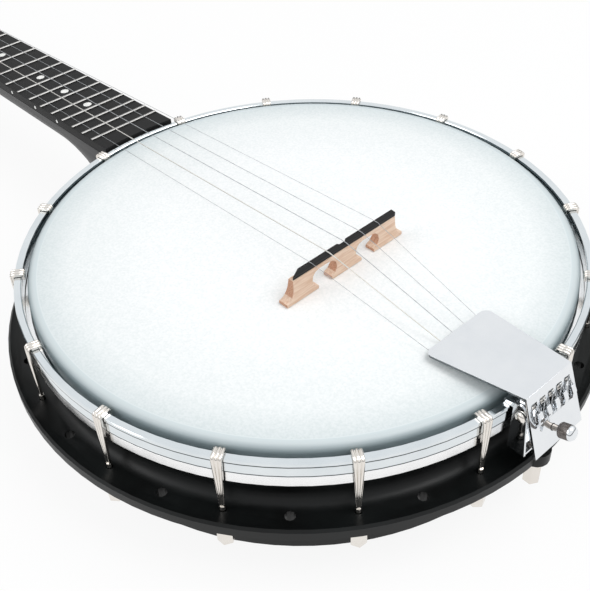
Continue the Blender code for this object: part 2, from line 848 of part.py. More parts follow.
def string_route(number):
    """The bends of one string, from the tailpiece's tang to its tuner, in the pot's frame."""
    radius = string_radii[number - 1]
    tail_y = tail_string_y(number)
    bridge_y = bridge_string_y(number)
    start_level = slot_top + radius + seat_gap + 2 * running_gap
    start = plate_matrix @ Vector((start_level, tail_y, -string_past_end_plate))
    lip_low = cover_lip + cover_down * (cover_thickness + seat_gap + radius)
    over_bridge = bridge_top_level + seat_gap + radius
    tail_edge = bridge_edge_x(bridge_y, -bridge_foot_depth / 2 + 0.0009)
    lip_y = between(tail_y, bridge_y, (lip_low.x - start.x) / (tail_edge - start.x))
    route = [
        start,
        Vector((lip_low.x, lip_y, lip_low.z)),
        Vector((tail_edge, bridge_y, over_bridge)),
        Vector((tail_edge + bridge_top_depth, bridge_y, over_bridge)),
    ]
    level = string_level(radius)
    if number == 5:
        spool_top = -fifth_tuner_drop + fifth_spool_radius + seat_gap + radius
        spool_y = fifth_tuner_y + running_gap + fifth_spool_length / 2
        over_pip = pip_x + pip_radius
        ends = [Vector((over_pip, pip_y, level)), Vector((fifth_tuner_x, spool_y, spool_top))]
        return route + [neck_matrix @ point for point in ends]
    y = nut_string_y(number)
    start_x = nut_x + seat_gap
    route += [neck_matrix @ Vector((x, y, level)) for x in (start_x, start_x + nut_length)]
    x, post_y, side, count = tuner_places()[number - 1]
    wrap_y = post_y - side * (post_radius + seat_gap + radius)
    return route + [headstock_matrix @ Vector((x, wrap_y, string_on_post))]


def string_object(number, finish, parent):
    """One string as a round wire through its route."""
    route = string_route(number)
    curve = bpy.data.curves.new("string_%d" % number, "CURVE")
    curve.dimensions = "3D"
    curve.bevel_depth = string_radii[number - 1]
    curve.bevel_resolution = 1
    curve.use_fill_caps = True
    curve.materials.append(finish)
    spline = curve.splines.new("POLY")
    spline.points.add(len(route) - 1)
    for point, place in zip(spline.points, route):
        point.co = (*place, 1)
    wire = bpy.data.objects.new("string_%d" % number, curve)
    bpy.context.scene.collection.objects.link(wire)
    wire.parent = parent


def cover_mesh():
    """The tailpiece's folded cover, its hinge tabs, string slots and tangs, in the pot's frame."""
    bottom = fold + plate_down * end_plate_length
    inner_fold = fold + (cover_down + plate_in) * (cover_thickness / (1 + cover_down.dot(plate_in)))
    inner_lip = cover_lip + cover_down * cover_thickness
    inner_bottom = bottom + plate_in * cover_thickness
    corners = [cover_lip, fold, bottom, inner_bottom, inner_fold, inner_lip]
    sheet = side_prism([(point.x, point.z) for point in corners], -cover_width, cover_width)
    half = cover_width / 2
    lip_half = cover_lip_width / 2
    plate_half = end_plate_width / 2
    corner_x = cover_lip.x - cover_corner
    plan = [(fold.x, half), (bottom.x, plate_half), (bottom.x - 0.004, plate_half)]
    plan += [(x, -y) for x, y in reversed(plan)]
    plan += arc((corner_x, -lip_half + cover_corner), cover_corner, 276, 360)
    plan += arc((corner_x, lip_half - cover_corner), cover_corner, 0, 84)
    sheet = combined(sheet, prism(plan, bottom.z - 0.01, fold.z + 0.01), "INTERSECT")
    slots = []
    tangs = []
    slot_half = tang_width / 2 + slot_side_gap
    middle = cover_thickness / 2
    tang_line = [
        (tang_root + 0.0010, middle), (tang_root - 0.0006, 0), (tang_root - 0.0024, -tang_rise * 0.75),
        (tang_root - 0.0046, -tang_rise), (tang_top, -tang_rise * 0.8),
    ]
    for number in range(1, 6):
        y = tail_string_y(number)
        slots.append(box((slot_top, y - slot_half, -0.002), (tang_root, y + slot_half, 0.003)))
        tangs.append(side_prism(strip(tang_line, tang_thickness), y - tang_width / 2, y + tang_width / 2))
    screw_hole = cylinder(screw_radius + running_gap, -0.002, 0.003)
    slots.append(moved(screw_hole, Matrix.Translation((screw_from_fold, screw_offset, 0))))
    sheet = cut(sheet, moved(together(slots), plate_matrix))
    sheet = joined(sheet, moved(together(tangs), plate_matrix))
    fold_middle = (fold + inner_fold) / 2
    plate_point = fold + plate_down * 0.007 + plate_in * middle
    right = pin_x + hinge_tab_radius
    plate_level = fold.z - (right - fold.x) * math.tan(cover_slope) - middle
    tab = [(right, plate_level), (fold_middle.x, fold_middle.z), (plate_point.x, plate_point.z)]
    tab += arc((pin_x, pin_z), hinge_tab_radius, 180, 360, 6)
    outer = bracket_width / 2 - bracket_thickness - running_gap
    tabs = [
        side_prism(tab, side * outer - hinge_tab_thickness * (side + 1) / 2,
                   side * outer + hinge_tab_thickness * (1 - side) / 2)
        for side in (-1, 1)
    ]
    sheet = joined(sheet, together(tabs))
    return cut(sheet, across_pin(pin_radius + running_gap))


def across_pin(radius):
    """A bar along the hinge pin's axis, to cut its holes with."""
    bar = cylinder(radius, -bracket_width, bracket_width, 12)
    return moved(bar, Matrix.Translation((pin_x, 0, pin_z)) @ Matrix.Rotation(math.pi / 2, 4, "X"))


def bracket_mesh():
    """The bracket: a lip over the hoop, a back, a shelf for the bolt, and two ears for the pin."""
    half = bracket_thickness / 2
    lip_x = -(head_outer_radius + crown_gap / 2 - 0.0003)
    top = hoop_top + seat_gap + half
    back_x = bracket_back_x - half
    outer_x = bracket_back_x - bracket_depth
    line = [(lip_x, top - bracket_lip_drop), (lip_x, top), (back_x, top), (back_x, bracket_bottom + half),
            (outer_x, bracket_bottom + half)]
    sheet = side_prism(strip(line, bracket_thickness), -bracket_width / 2 + seat_gap, bracket_width / 2 - seat_gap)
    trim = []
    for side in (-1, 1):
        low = bracket_lip_width / 2 if side > 0 else -bracket_width
        high = bracket_width if side > 0 else -bracket_lip_width / 2
        trim.append(box((lip_x - 0.0008, low, top - 0.01), (lip_x + 0.002, high, top + 0.01)))
    sheet = cut(sheet, together(trim))
    ear_top = hoop_top + bracket_ear_rise
    ear = [
        (bracket_back_x + 0.0002, bracket_bottom - 0.0002), (outer_x - 0.0002, bracket_bottom - 0.0002),
        (pin_x - 0.0025, pin_z + 0.0010), (pin_x - 0.0017, ear_top - 0.0012), (pin_x + 0.0006, ear_top),
        (lip_x - 0.0014, top + half + 0.0004), (lip_x - 0.0014, top - half - 0.0001),
        (bracket_back_x + 0.0002, top - half - 0.0001),
    ]
    outer = bracket_width / 2
    ears = [side_prism(ear, outer - bracket_thickness, outer), side_prism(ear, -outer, -outer + bracket_thickness)]
    sheet = joined(sheet, together(ears))
    bolt_hole = cylinder(tail_bolt_radius + running_gap, bracket_bottom - 0.002, bracket_bottom + 0.004)
    bolt_hole = moved(bolt_hole, Matrix.Translation((tail_bolt_x, 0, 0)))
    return cut(sheet, across_pin(pin_radius + running_gap), bolt_hole)


def pin_mesh():
    """The hinge pin with a domed head at each end, along Z."""
    end = bracket_width / 2 + seat_gap
    dome = [(pin_head_radius * 0.75, end + pin_head_height * 0.72), (pin_head_radius, end + pin_head_height * 0.3)]
    side = [(0, end + pin_head_height)] + dome + [(pin_head_radius, end), (pin_radius, end)]
    return turned(side + [(radius, -height) for radius, height in reversed(side)], 12)


screw_reach = (bracket_back_x - bracket_thickness - screw_tip_gap - (fold + plate_down * screw_from_fold).x)
screw_length_inside = screw_reach / plate_in.x
screw_matrix = plate_matrix @ Matrix.Translation((screw_from_fold, screw_offset, 0))


def screw_mesh():
    """The tension screw's shank, from its tip at the bracket to its seat in the knob."""
    return cylinder(screw_radius, -(knob_clearance + knob_length * 0.6), screw_length_inside, 12)


def knob_mesh():
    """The knurled knob's body, a domed cylinder with a blind bore."""
    bore = screw_radius + seat_gap
    end = knob_clearance + knob_length
    floor = knob_clearance + knob_length * 0.6 + seat_gap
    profile = [
        (0, -end), (knob_radius * 0.6, -end + 0.0004), (knob_radius, -end + 0.0014),
        (knob_radius, -knob_clearance - 0.0003), (knob_radius - 0.0003, -knob_clearance),
        (bore, -knob_clearance), (bore, -floor), (0, -floor),
    ]
    return turned(profile, round_steps)


def tail_bolt_mesh():
    """The bolt that pulls the bracket down to the flange's lobe."""
    seat = bracket_bottom + bracket_thickness + seat_gap
    top = seat + tail_bolt_head_height
    foot = flange_underside - hook_nut_length
    profile = [
        (0, foot), (tail_bolt_radius, foot), (tail_bolt_radius, seat), (tail_bolt_head_radius, seat),
        (tail_bolt_head_radius, top - 0.0006), (tail_bolt_head_radius - 0.0006, top), (0, top),
    ]
    return moved(turned(profile, 12), Matrix.Translation((tail_bolt_x, 0, 0)))


def rounded_block(half_x, low_y, high_y, radius):
    """A rectangle with round corners, in X and Y."""
    outline = arc((half_x - radius, high_y - radius), radius, 0, 90, 3)
    outline += arc((-half_x + radius, high_y - radius), radius, 90, 180, 3)
    outline += arc((-half_x + radius, low_y + radius), radius, 180, 270, 3)
    return outline + arc((half_x - radius, low_y + radius), radius, 270, 360, 3)


case_top = -headstock_thickness - seat_gap
worm_level = case_top - gear_case_depth / 2
case_outer_y = gear_case_length * 0.6


def gear_case_mesh(side):
    """A tuner's closed gear case behind the headstock, with its sleeve and collar; Y is outwards."""
    bore = post_radius + running_gap
    sleeve = bore + sleeve_wall
    collar = sleeve + collar_width
    outline = rounded_block(gear_case_width / 2, case_outer_y - gear_case_length, case_outer_y, 0.003)
    case = prism(outline, case_top - gear_case_depth, case_top)
    tube = turned([
        (0, case_top - 0.002), (sleeve, case_top - 0.002), (sleeve, seat_gap), (collar, seat_gap),
        (collar, seat_gap + collar_thickness - 0.0004), (collar - 0.0004, seat_gap + collar_thickness),
        (0, seat_gap + collar_thickness),
    ], round_steps)
    case = joined(case, tube)
    post_bore = cylinder(bore, case_top - gear_case_depth + 0.0012, 0.010, 12)
    worm_bore = cylinder(button_shaft_radius + running_gap, case_outer_y - 0.010, case_outer_y + 0.002, 10)
    worm_bore = moved(worm_bore, worm_matrix)
    mesh = cut(case, post_bore, worm_bore)
    return moved(mesh, Matrix.Scale(side, 4, (0, 1, 0)))


worm_matrix = Matrix.Translation((worm_offset, 0, worm_level)) @ Matrix.Rotation(-math.pi / 2, 4, "X")


def post_mesh():
    """A tuner's string post, waisted where the string winds."""
    foot = case_top - gear_case_depth + 0.0012 + running_gap
    waist_low = string_on_post - 0.002
    waist_high = string_on_post + 0.003
    profile = [
        (0, foot), (post_radius, foot), (post_radius, waist_low), (post_waist, waist_low + 0.001),
        (post_waist, waist_high - 0.001), (post_radius, waist_high), (post_radius, post_rise - 0.0008),
        (post_radius - 0.0008, post_rise), (0, post_rise),
    ]
    return turned(profile, 12)


def oval(half_x, half_z, y, steps=12):
    """One cross-section of a button, square to Y."""
    angles = [2 * math.pi * index / steps for index in range(steps)]
    return [(half_x * math.cos(angle), y, half_z * math.sin(angle)) for angle in angles]


def button_mesh(side):
    """A tuner's button with its worm shaft, about its own axis; Y is outwards."""
    shaft = button_shaft_radius
    inner = case_outer_y - 0.010 + running_gap
    start = case_outer_y + button_reach
    wide = button_width / 2
    thick = button_thickness / 2
    rings = [
        oval(shaft, shaft, inner), oval(shaft, shaft, start), oval(wide * 0.42, thick * 0.80, start + 0.0008),
        oval(wide * 0.80, thick * 0.98, start + button_length * 0.28), oval(wide, thick, start + button_length * 0.6),
        oval(wide * 0.86, thick * 0.92, start + button_length * 0.88),
        oval(wide * 0.58, thick * 0.6, start + button_length),
    ]
    return moved(loft(rings), Matrix.Scale(side, 4, (0, 1, 0)))


def fifth_frame_mesh():
    """The fifth tuner's fixed part: plug in the neck, core through the spool, and gear case; Z is outwards."""
    spool_end = running_gap + fifth_spool_length + running_gap
    case_end = spool_end + fifth_case_length
    bore = button_shaft_radius + running_gap
    profile = [
        (0, -fifth_plug_length), (fifth_plug_radius, -fifth_plug_length), (fifth_plug_radius, 0),
        (fifth_core_radius, 0), (fifth_core_radius, spool_end), (fifth_case_radius - 0.001, spool_end),
        (fifth_case_radius, spool_end + 0.001), (fifth_case_radius, case_end - 0.001),
        (fifth_case_radius - 0.001, case_end), (bore, case_end), (bore, case_end - 0.005), (0, case_end - 0.005),
    ]
    return turned(profile, round_steps)


def fifth_spool_mesh():
    """The fifth tuner's turning spool round the core."""
    low = running_gap
    high = low + fifth_spool_length
    bore = fifth_core_radius + running_gap
    flange = fifth_spool_radius + 0.0006
    profile = [
        (bore, low), (flange, low), (flange, low + 0.0008), (fifth_spool_radius, low + 0.0012),
        (fifth_spool_radius, high - 0.0012), (flange, high - 0.0008), (flange, high), (bore, high),
    ]
    return turned(profile, 12)


def fifth_button_mesh():
    """The fifth tuner's button with its short shaft."""
    case_end = 2 * running_gap + fifth_spool_length + fifth_case_length
    start = case_end + 0.0010
    shaft = button_shaft_radius
    wide = fifth_button_radius
    thick = button_thickness / 2
    rings = [
        oval(shaft, shaft, case_end - 0.005 + running_gap), oval(shaft, shaft, start),
        oval(wide * 0.45, thick * 0.80, start + 0.0008), oval(wide * 0.85, thick, start + fifth_button_length * 0.3),
        oval(wide, thick, start + fifth_button_length * 0.62),
        oval(wide * 0.60, thick * 0.6, start + fifth_button_length),
    ]
    return moved(loft(rings), Matrix.Rotation(math.pi / 2, 4, "X"))


def rod_cover_mesh():
    """A small plain plate over the truss rod's end."""
    half = rod_cover_width / 2
    start = rod_cover_from_nut
    end = start + rod_cover_length
    outline = [(start, -half), (end - half, -half)]
    outline += arc((end - half, 0), half, -60, 60, 6)
    outline += [(end - half, half), (start, half)]
    return prism(outline, seat_gap, seat_gap + rod_cover_thickness)


def build():
    """Make every piece."""
    for thing in list(bpy.data.objects):
        bpy.data.objects.remove(thing)

    moulded_black = finish_of("moulded_black", "#1d1e1f", 0.42)
    head_white = finish_of("head_white", "#f1f4f4", 0.55)
    chrome = finish_of("chrome", "#e4e6e8", 0.10, 1.0)
    bright_aluminium = finish_of("bright_aluminium", "#e6e8ea", 0.22, 1.0)
    neck_grey = finish_of("neck_grey", "#3a3a3b", 0.45)
    board_black = finish_of("board_black", "#232323", 0.50)
    bone_white = finish_of("bone_white", "#e8e4d8", 0.40)
    maple = finish_of("maple", "#e6c9b1", 0.55)
    ebony = finish_of("ebony", "#171516", 0.50)
    string_steel = finish_of("string_steel", "#b9bcbe", 0.25, 1.0)
    button_cream = finish_of("button_cream", "#ece7d6", 0.25)

    pot = frame("pot_frame", None, Matrix.Translation((pot_x, 0, 0)))
    neck = frame("neck_frame", pot, neck_matrix)
    headstock = frame("headstock_frame", neck, neck_matrix.inverted() @ headstock_matrix)

    add("rim", rim_mesh(), moulded_black, pot)
    add("head", head_mesh(), head_white, pot)
    flesh = hoop_mesh(flesh_hoop_inner_radius, flesh_hoop_radius, flesh_hoop_bottom, flesh_hoop_top)
    add("flesh_hoop", flesh, bright_aluminium, pot)
    tension = tension_hoop_mesh()
    add("tension_hoop", tension, chrome, pot)
    hook = hook_mesh()
    for index in range(hook_count):
        piece = add("bracket_hook_%02d" % (index + 1), hook, chrome, pot)
        piece.rotation_euler.z = math.pi - (index + 0.5) * hook_pitch

    add("neck", neck_mesh(), neck_grey, neck)
    add("fingerboard", fingerboard_mesh(), board_black, neck)
    add("nut", nut_mesh(), bone_white, neck)
    add("fifth_string_nut", pip_mesh(), bone_white, neck)
    add("truss_rod_cover", rod_cover_mesh(), ebony, headstock)

    bridge_place = Matrix.Translation((bridge_x, bridge_offset, bridge_foot_level))
    bridge = frame("bridge_frame", pot, bridge_place @ Matrix.Rotation(bridge_slant, 4, "Z"))
    add("bridge_base", bridge_base_mesh(), maple, bridge)
    add("bridge_top", bridge_top_mesh(), ebony, bridge)
    for number in range(1, 6):
        string_object(number, string_steel, pot)

    pin_place = Matrix.Translation((pin_x, 0, pin_z))
    add("tailpiece_cover", cover_mesh(), chrome, pot, pin_place)
    add("tailpiece_bracket", bracket_mesh(), chrome, pot)
    pin = add("tailpiece_pin", pin_mesh(), chrome, pot)
    pin.matrix_basis = pin_place @ Matrix.Rotation(math.pi / 2, 4, "X")
    screw_frame = frame("screw_frame", pot, screw_matrix)
    add("tension_screw", screw_mesh(), chrome, screw_frame)
    add("tension_knob", knob_mesh(), chrome, screw_frame)
    add("tailpiece_bolt", tail_bolt_mesh(), chrome, pot)
    tail_nut = hex_nut(hook_nut_radius, hook_nut_length, tail_bolt_radius + running_gap)
    nut_low = flange_underside - seat_gap - hook_nut_length
    add("tailpiece_nut", moved(tail_nut, Matrix.Translation((tail_bolt_x, 0, nut_low))), chrome, pot)

    nut_half = rod_nut_radius
    inner_seat = math.sqrt(rim_inner_radius ** 2 - nut_half ** 2) - seat_gap - rod_nut_length
    outer_seat = rim_radius + seat_gap
    tail_end = outer_seat + rod_nut_length + 0.001
    rod = cylinder(rod_radius, -tail_end, rim_radius + seat_gap + rod_in_heel, round_steps)
    add("coordinator_rod", moved(rod, ring_about_x(0, rod_level)), chrome, pot)
    seats = {"rod_nut_neck": inner_seat, "rod_nut_tail": -inner_seat - rod_nut_length,
             "rod_nut_outer": -outer_seat - rod_nut_length}
    for name, start in seats.items():
        nut = hex_nut(rod_nut_radius, rod_nut_length, rod_radius + seat_gap)
        add(name, moved(nut, ring_about_x(start, rod_level)), chrome, pot)

    for x, y, side, number in tuner_places():
        place = frame("tuner_frame_%d" % number, headstock, Matrix.Translation((x, y, 0)))
        add("tuner_case_%d" % number, gear_case_mesh(side), chrome, place)
        add("tuner_post_%d" % number, post_mesh(), chrome, place)
        button = add("tuner_button_%d" % number, button_mesh(side), button_cream, place)
        button.location = (worm_offset, 0, worm_level)
    fifth = frame("tuner_frame_5", neck, fifth_tuner_matrix)
    add("tuner_case_5", fifth_frame_mesh(), chrome, fifth)
    add("tuner_post_5", fifth_spool_mesh(), chrome, fifth)
    add("tuner_button_5", fifth_button_mesh(), button_cream, fifth)


if __name__ == "__main__":
    build()
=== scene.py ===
"""Looks for an open-back five-string banjo: finishes, ribs, knob, inlays, string ends and studio."""

import json
import math

import bmesh
import bpy
from bpy.props import FloatProperty, FloatVectorProperty, PointerProperty
from bpy.types import Operator, Panel, PropertyGroup
from mathutils import Matrix, Vector


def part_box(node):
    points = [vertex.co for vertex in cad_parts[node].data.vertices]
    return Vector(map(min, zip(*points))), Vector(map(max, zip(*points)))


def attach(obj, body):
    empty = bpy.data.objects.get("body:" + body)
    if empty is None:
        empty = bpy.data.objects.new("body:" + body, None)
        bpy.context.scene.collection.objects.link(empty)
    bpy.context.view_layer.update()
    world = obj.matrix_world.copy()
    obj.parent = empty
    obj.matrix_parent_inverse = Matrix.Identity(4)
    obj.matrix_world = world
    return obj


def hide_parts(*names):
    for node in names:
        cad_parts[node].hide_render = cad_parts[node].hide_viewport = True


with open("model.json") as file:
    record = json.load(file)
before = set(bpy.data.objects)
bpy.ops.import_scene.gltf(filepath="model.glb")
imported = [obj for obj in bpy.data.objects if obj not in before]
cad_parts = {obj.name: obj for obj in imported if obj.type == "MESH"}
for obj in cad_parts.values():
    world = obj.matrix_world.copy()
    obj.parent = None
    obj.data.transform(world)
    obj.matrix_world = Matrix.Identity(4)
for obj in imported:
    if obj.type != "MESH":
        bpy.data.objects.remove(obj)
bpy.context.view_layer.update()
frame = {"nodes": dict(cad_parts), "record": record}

bl_info = {
    "name": "Open-back banjo",
    "version": (1, 0, 0),
    "blender": (4, 5, 0),
    "location": "View3D > Sidebar > Banjo",
    "description": "Dresses the banjo's solids and sets up its studio",
    "category": "Object",
}

head_low, head_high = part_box("head")
hoop_low, hoop_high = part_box("tension_hoop")
pot_centre = Vector(((head_low[0] + head_high[0]) / 2, (head_low[1] + head_high[1]) / 2, 0))
head_radius = (head_high[1] - head_low[1]) / 2
hoop_radius = (hoop_high[1] - hoop_low[1]) / 2
head_level = head_high[2]

HOOKS = ["bracket_hook_%02d" % number for number in range(1, 17)]
STRINGS = ["string_%d" % number for number in range(1, 6)]
TUNER_METAL = ["tuner_%s_%d" % (kind, number) for kind in ("case", "post") for number in range(1, 6)]
TUNER_BUTTONS = ["tuner_button_%d" % number for number in range(1, 6)]
WOUND_STRING = 4
MIDDLE_STRING = 3

DOT_FRETS = (3, 5, 7, 10, 12, 15, 17, 19)
PEG_FRET = 5
LAST_FRET = 22

# Points of a solid that are closer than this are one point.
MERGE_DISTANCE = 2e-6
# Faces that meet at less than FLAT_ANGLE are one flat face, edges over SHARP_ANGLE stay sharp,
# and those over EASED_ANGLE are rounded where a piece has eased edges.
FLAT_ANGLE = math.radians(0.6)
SHARP_ANGLE = math.radians(35)
EASED_ANGLE = math.radians(38)
FULL_TURN = 2 * math.pi
# A wave texture turns through this many radians over one metre at scale 1.
WAVE_RADIANS = 20


class PotLook(PropertyGroup):
    """Finish of the rim, head and hoops."""

    composite: FloatVectorProperty(
        name="Composite", description="Moulded rim's black, sRGB", subtype="COLOR_GAMMA",
        default=(0.043, 0.048, 0.049), min=0, max=1)
    film: FloatVectorProperty(
        name="Film", description="Coated head's white, sRGB", subtype="COLOR_GAMMA",
        default=(0.975, 0.98, 0.98), min=0, max=1)
    crown_width: FloatProperty(
        name="Crown width", description="Uncoated band at the head's edge", default=0.0050, unit="LENGTH")
    bead_height: FloatProperty(
        name="Bead height", description="Bead round the top of the tension hoop", default=0.0023,
        unit="LENGTH")
    # The line is painted shade, under the bead and at the hoop's foot.
    line_width: FloatProperty(
        name="Line width", description="Dark line under the bead and at the hoop's foot", default=0.0010,
        unit="LENGTH")


class HookLook(PropertyGroup):
    """Sizes of the ribs on the bracket hooks."""

    rib_radius: FloatProperty(
        name="Rib radius", description="Radius of a rib", default=0.00078, unit="LENGTH")
    rib_spread: FloatProperty(
        name="Rib spread", description="Middle rib to an outer rib", default=0.00175, unit="LENGTH")
    hook_thickness: FloatProperty(
        name="Hook thickness", description="Thickness of a hook's blade", default=0.0013, unit="LENGTH")
    hoop_wall: FloatProperty(
        name="Hoop wall", description="Thickness of the tension hoop", default=0.0037, unit="LENGTH")
    foot_level: FloatProperty(
        name="Foot level", description="Height at which the ribs run out", default=0.0395, unit="LENGTH")


class NeckLook(PropertyGroup):
    """Sizes of the neck's layout and inlays."""

    scale_length: FloatProperty(
        name="Scale length", description="Nut to the bridge line", default=0.665, unit="LENGTH")
    bridge_line: FloatProperty(
        name="Bridge line", description="Bridge line behind the pot's middle", default=0.0245, unit="LENGTH")
    neck_angle: FloatProperty(
        name="Neck angle", description="Tilt of the fingerboard", default=math.radians(2.6), subtype="ANGLE")
    board_to_hoop: FloatProperty(
        name="Board to hoop", description="Gap between hoop and fingerboard", default=0.0008, unit="LENGTH")
    board_below_head: FloatProperty(
        name="Board below head", description="Fingerboard's start under the head's top", default=0.0003,
        unit="LENGTH")
    dot_radius: FloatProperty(
        name="Dot radius", description="Face dots", default=0.0027, unit="LENGTH")
    side_dot_radius: FloatProperty(
        name="Side dot radius", description="Dots on the fingerboard's edge", default=0.0011, unit="LENGTH")
    dot_proud: FloatProperty(
        name="Dot proud", description="Height of a dot over the wood", default=0.00006, unit="LENGTH")


class StringLook(PropertyGroup):
    """Sizes of the strings' loop ends on the tailpiece."""

    loop_wire: FloatProperty(
        name="Loop wire", description="Radius of the wire in a loop end", default=0.00024, unit="LENGTH")
    loop_width: FloatProperty(
        name="Loop width", description="Half of a loop's width", default=0.00175, unit="LENGTH")
    loop_start: FloatProperty(
        name="Loop start", description="Fold to the start of a loop, down the end plate", default=0.0058,
        unit="LENGTH")
    loop_end: FloatProperty(
        name="Loop end", description="Fold to the bend of a loop, down the end plate", default=0.0143,
        unit="LENGTH")
    pitch: FloatProperty(
        name="Pitch", description="Distance between two tangs", default=0.0057, unit="LENGTH")
    plate_angle: FloatProperty(
        name="End plate angle", description="Outward slant of the end plate", default=math.radians(19.2),
        subtype="ANGLE")


class StudioLook(PropertyGroup):
    """Camera and lamps."""

    camera_place: FloatVectorProperty(
        name="Camera", description="Camera from the pot's axis", size=3, subtype="TRANSLATION",
        default=(-0.29162, 0.25671, 0.36849))
    azimuth: FloatProperty(
        name="Azimuth", description="Direction of view", default=math.radians(-40.6356), subtype="ANGLE")
    elevation: FloatProperty(
        name="Elevation", description="Downward tilt", default=math.radians(40.9663), subtype="ANGLE")
    roll: FloatProperty(
        name="Roll", description="Turn about the line of sight", default=math.radians(-2.6298),
        subtype="ANGLE")
    lens: FloatProperty(
        name="Lens", description="Focal length in millimetres on a 36 mm sensor", default=57.566)
    key_power: FloatProperty(
        name="Key", description="Overhead softbox in watts", default=15.0)
    world_level: FloatProperty(
        name="World", description="Level of the surrounding light", default=0.62)


def linear(colour):
    """An sRGB hex colour as linear values with alpha."""
    channels = [int(colour[index:index + 2], 16) / 255 for index in (1, 3, 5)]
    values = [value / 12.92 if value <= 0.04045 else ((value + 0.055) / 1.055) ** 2.4 for value in channels]
    return (*values, 1.0)


def hex_of(values):
    """Three sRGB values as a hex colour."""
    return "#" + "".join("%02x" % round(value * 255) for value in values)


def lighter(colour):
    """The same hex colour, a little nearer to white."""
    channels = [int(colour[index:index + 2], 16) for index in (1, 3, 5)]
    return "#" + "".join("%02x" % round(value + (255 - value) * 0.25) for value in channels)


def node(tree, kind, settings=None, **links):
    """Adds a node, sets its properties and inputs, and links what is given as sockets."""
    made = tree.nodes.new(kind)
    for name, value in (settings or {}).items():
        setattr(made, name, value)
    for name, value in links.items():
        socket = made.inputs[int(name[1:])] if name[0] == "i" and name[1:].isdigit() else made.inputs[
            name.replace("_", " ")]
        if isinstance(value, bpy.types.NodeSocket):
            tree.links.new(value, socket)
        else:
            socket.default_value = value
    return made


def start_material(name):
    """A material with only its output, its Principled shader and Object coordinates."""
    made = bpy.data.materials.new(name)
    made.use_nodes = True
    tree = made.node_tree
    shader = tree.nodes["Principled BSDF"]
    place = node(tree, "ShaderNodeTexCoord").outputs["Object"]
    return made, tree, shader, place


def ramp(tree, factor, stops):
    """A colour ramp from (position, hex colour) stops."""
    made = node(tree, "ShaderNodeValToRGB", Fac=factor)
    elements = made.color_ramp.elements
    while len(elements) < len(stops):
        elements.new(0.5)
    for element, (position, colour) in zip(elements, stops):
        element.position = position
        element.color = linear(colour)
    return made.outputs["Color"]


def spread(tree, value, low, high):
    """Maps noise between 0.3 and 0.7 to a range of roughness."""
    made = node(tree, "ShaderNodeMapRange", i0=value, i1=0.3, i2=0.7, i3=low, i4=high)
    return made.outputs["Result"]


def bumped(tree, shader, height, strength, distance):
    """Gives the shader a bump of a real height."""
    made = node(tree, "ShaderNodeBump", Strength=strength, Distance=distance, Height=height)
    tree.links.new(made.outputs["Normal"], shader.inputs["Normal"])


def moulded_composite(look):
    """Glass-filled nylon, moulded against a fine spark texture: black with a soft, broken sheen."""
    made, tree, shader, place = start_material("moulded_composite")
    dark = hex_of(look.composite)
    cloud = node(tree, "ShaderNodeTexNoise", Vector=place, Scale=45.0, Detail=4.0)
    colour = ramp(tree, cloud.outputs["Fac"], ((0.3, dark), (0.7, "#131616")))
    tree.links.new(colour, shader.inputs["Base Color"])
    tree.links.new(spread(tree, cloud.outputs["Fac"], 0.34, 0.44), shader.inputs["Roughness"])
    # The matt mould gives back less light than a smooth plastic.
    shader.inputs["Specular IOR Level"].default_value = 0.24
    # The mould's grain is about 0.1 mm; drawn at 0.5 mm so that it shows.
    grain = node(tree, "ShaderNodeTexNoise", Vector=place, Scale=2000.0, Detail=2.0)
    bumped(tree, shader, grain.outputs["Fac"], 0.12, 0.00005)
    return made


def coated_film(look):
    """Polyester drum film with a sprayed frosted coat, left clear at the crown, so that shows greyer; the
    crown darkens with painted shade towards the head's edge.
    """
    made, tree, shader, place = start_material("coated_film")
    away = node(tree, "ShaderNodeVectorMath", {"operation": "SUBTRACT"}, i0=place, i1=tuple(pot_centre))
    flat = node(tree, "ShaderNodeVectorMath", {"operation": "MULTIPLY"}, i0=away.outputs[0], i1=(1, 1, 0))
    reach = node(tree, "ShaderNodeVectorMath", {"operation": "LENGTH"}, i0=flat.outputs[0])
    coat_edge = head_radius - look.crown_width
    edge_blur = 0.0004
    share = node(tree, "ShaderNodeMapRange", i0=reach.outputs["Value"], i1=coat_edge - edge_blur,
                 i2=head_radius)
    speck = node(tree, "ShaderNodeTexNoise", Vector=place, Scale=900.0, Detail=3.0)
    # The white greys a little from just over half the radius out to the coat's edge.
    grey_from = head_radius * 0.55
    fade = node(tree, "ShaderNodeMapRange", i0=reach.outputs["Value"], i1=grey_from, i2=coat_edge)
    body_tone = ramp(tree, fade.outputs["Result"],
                     ((0.0, hex_of(look.film)), (0.7, "#f0f3f3"), (1.0, "#dbe2e3")))
    speckle = ramp(tree, speck.outputs["Fac"], ((0.35, "#f4f6f6"), (0.65, "#ffffff")))
    coat = node(tree, "ShaderNodeMix", {"data_type": "RGBA", "blend_type": "MULTIPLY"}, Factor=1.0,
                i6=body_tone, i7=speckle).outputs[2]
    # The crown's grey is the clear film's own tone; its darkening towards the head's edge is painted shade
    # where the film turns down beside the hoop.
    crown = ramp(tree, share.outputs["Result"],
                 ((0.0, "#e2e8e9"), (0.15, "#cfd9db"), (0.5, "#c8d1d3"), (1.0, "#93a1a5")))
    band = node(tree, "ShaderNodeMath", {"operation": "GREATER_THAN"}, i0=share.outputs["Result"], i1=0.02)
    mixed = node(tree, "ShaderNodeMix", {"data_type": "RGBA"}, Factor=band.outputs[0], i6=coat, i7=crown)
    tree.links.new(mixed.outputs[2], shader.inputs["Base Color"])
    rough = node(tree, "ShaderNodeMapRange", i0=share.outputs["Result"], i3=0.62, i4=0.22)
    tree.links.new(rough.outputs["Result"], shader.inputs["Roughness"])
    bumped(tree, shader, speck.outputs["Fac"], 0.10, 0.00004)
    return made


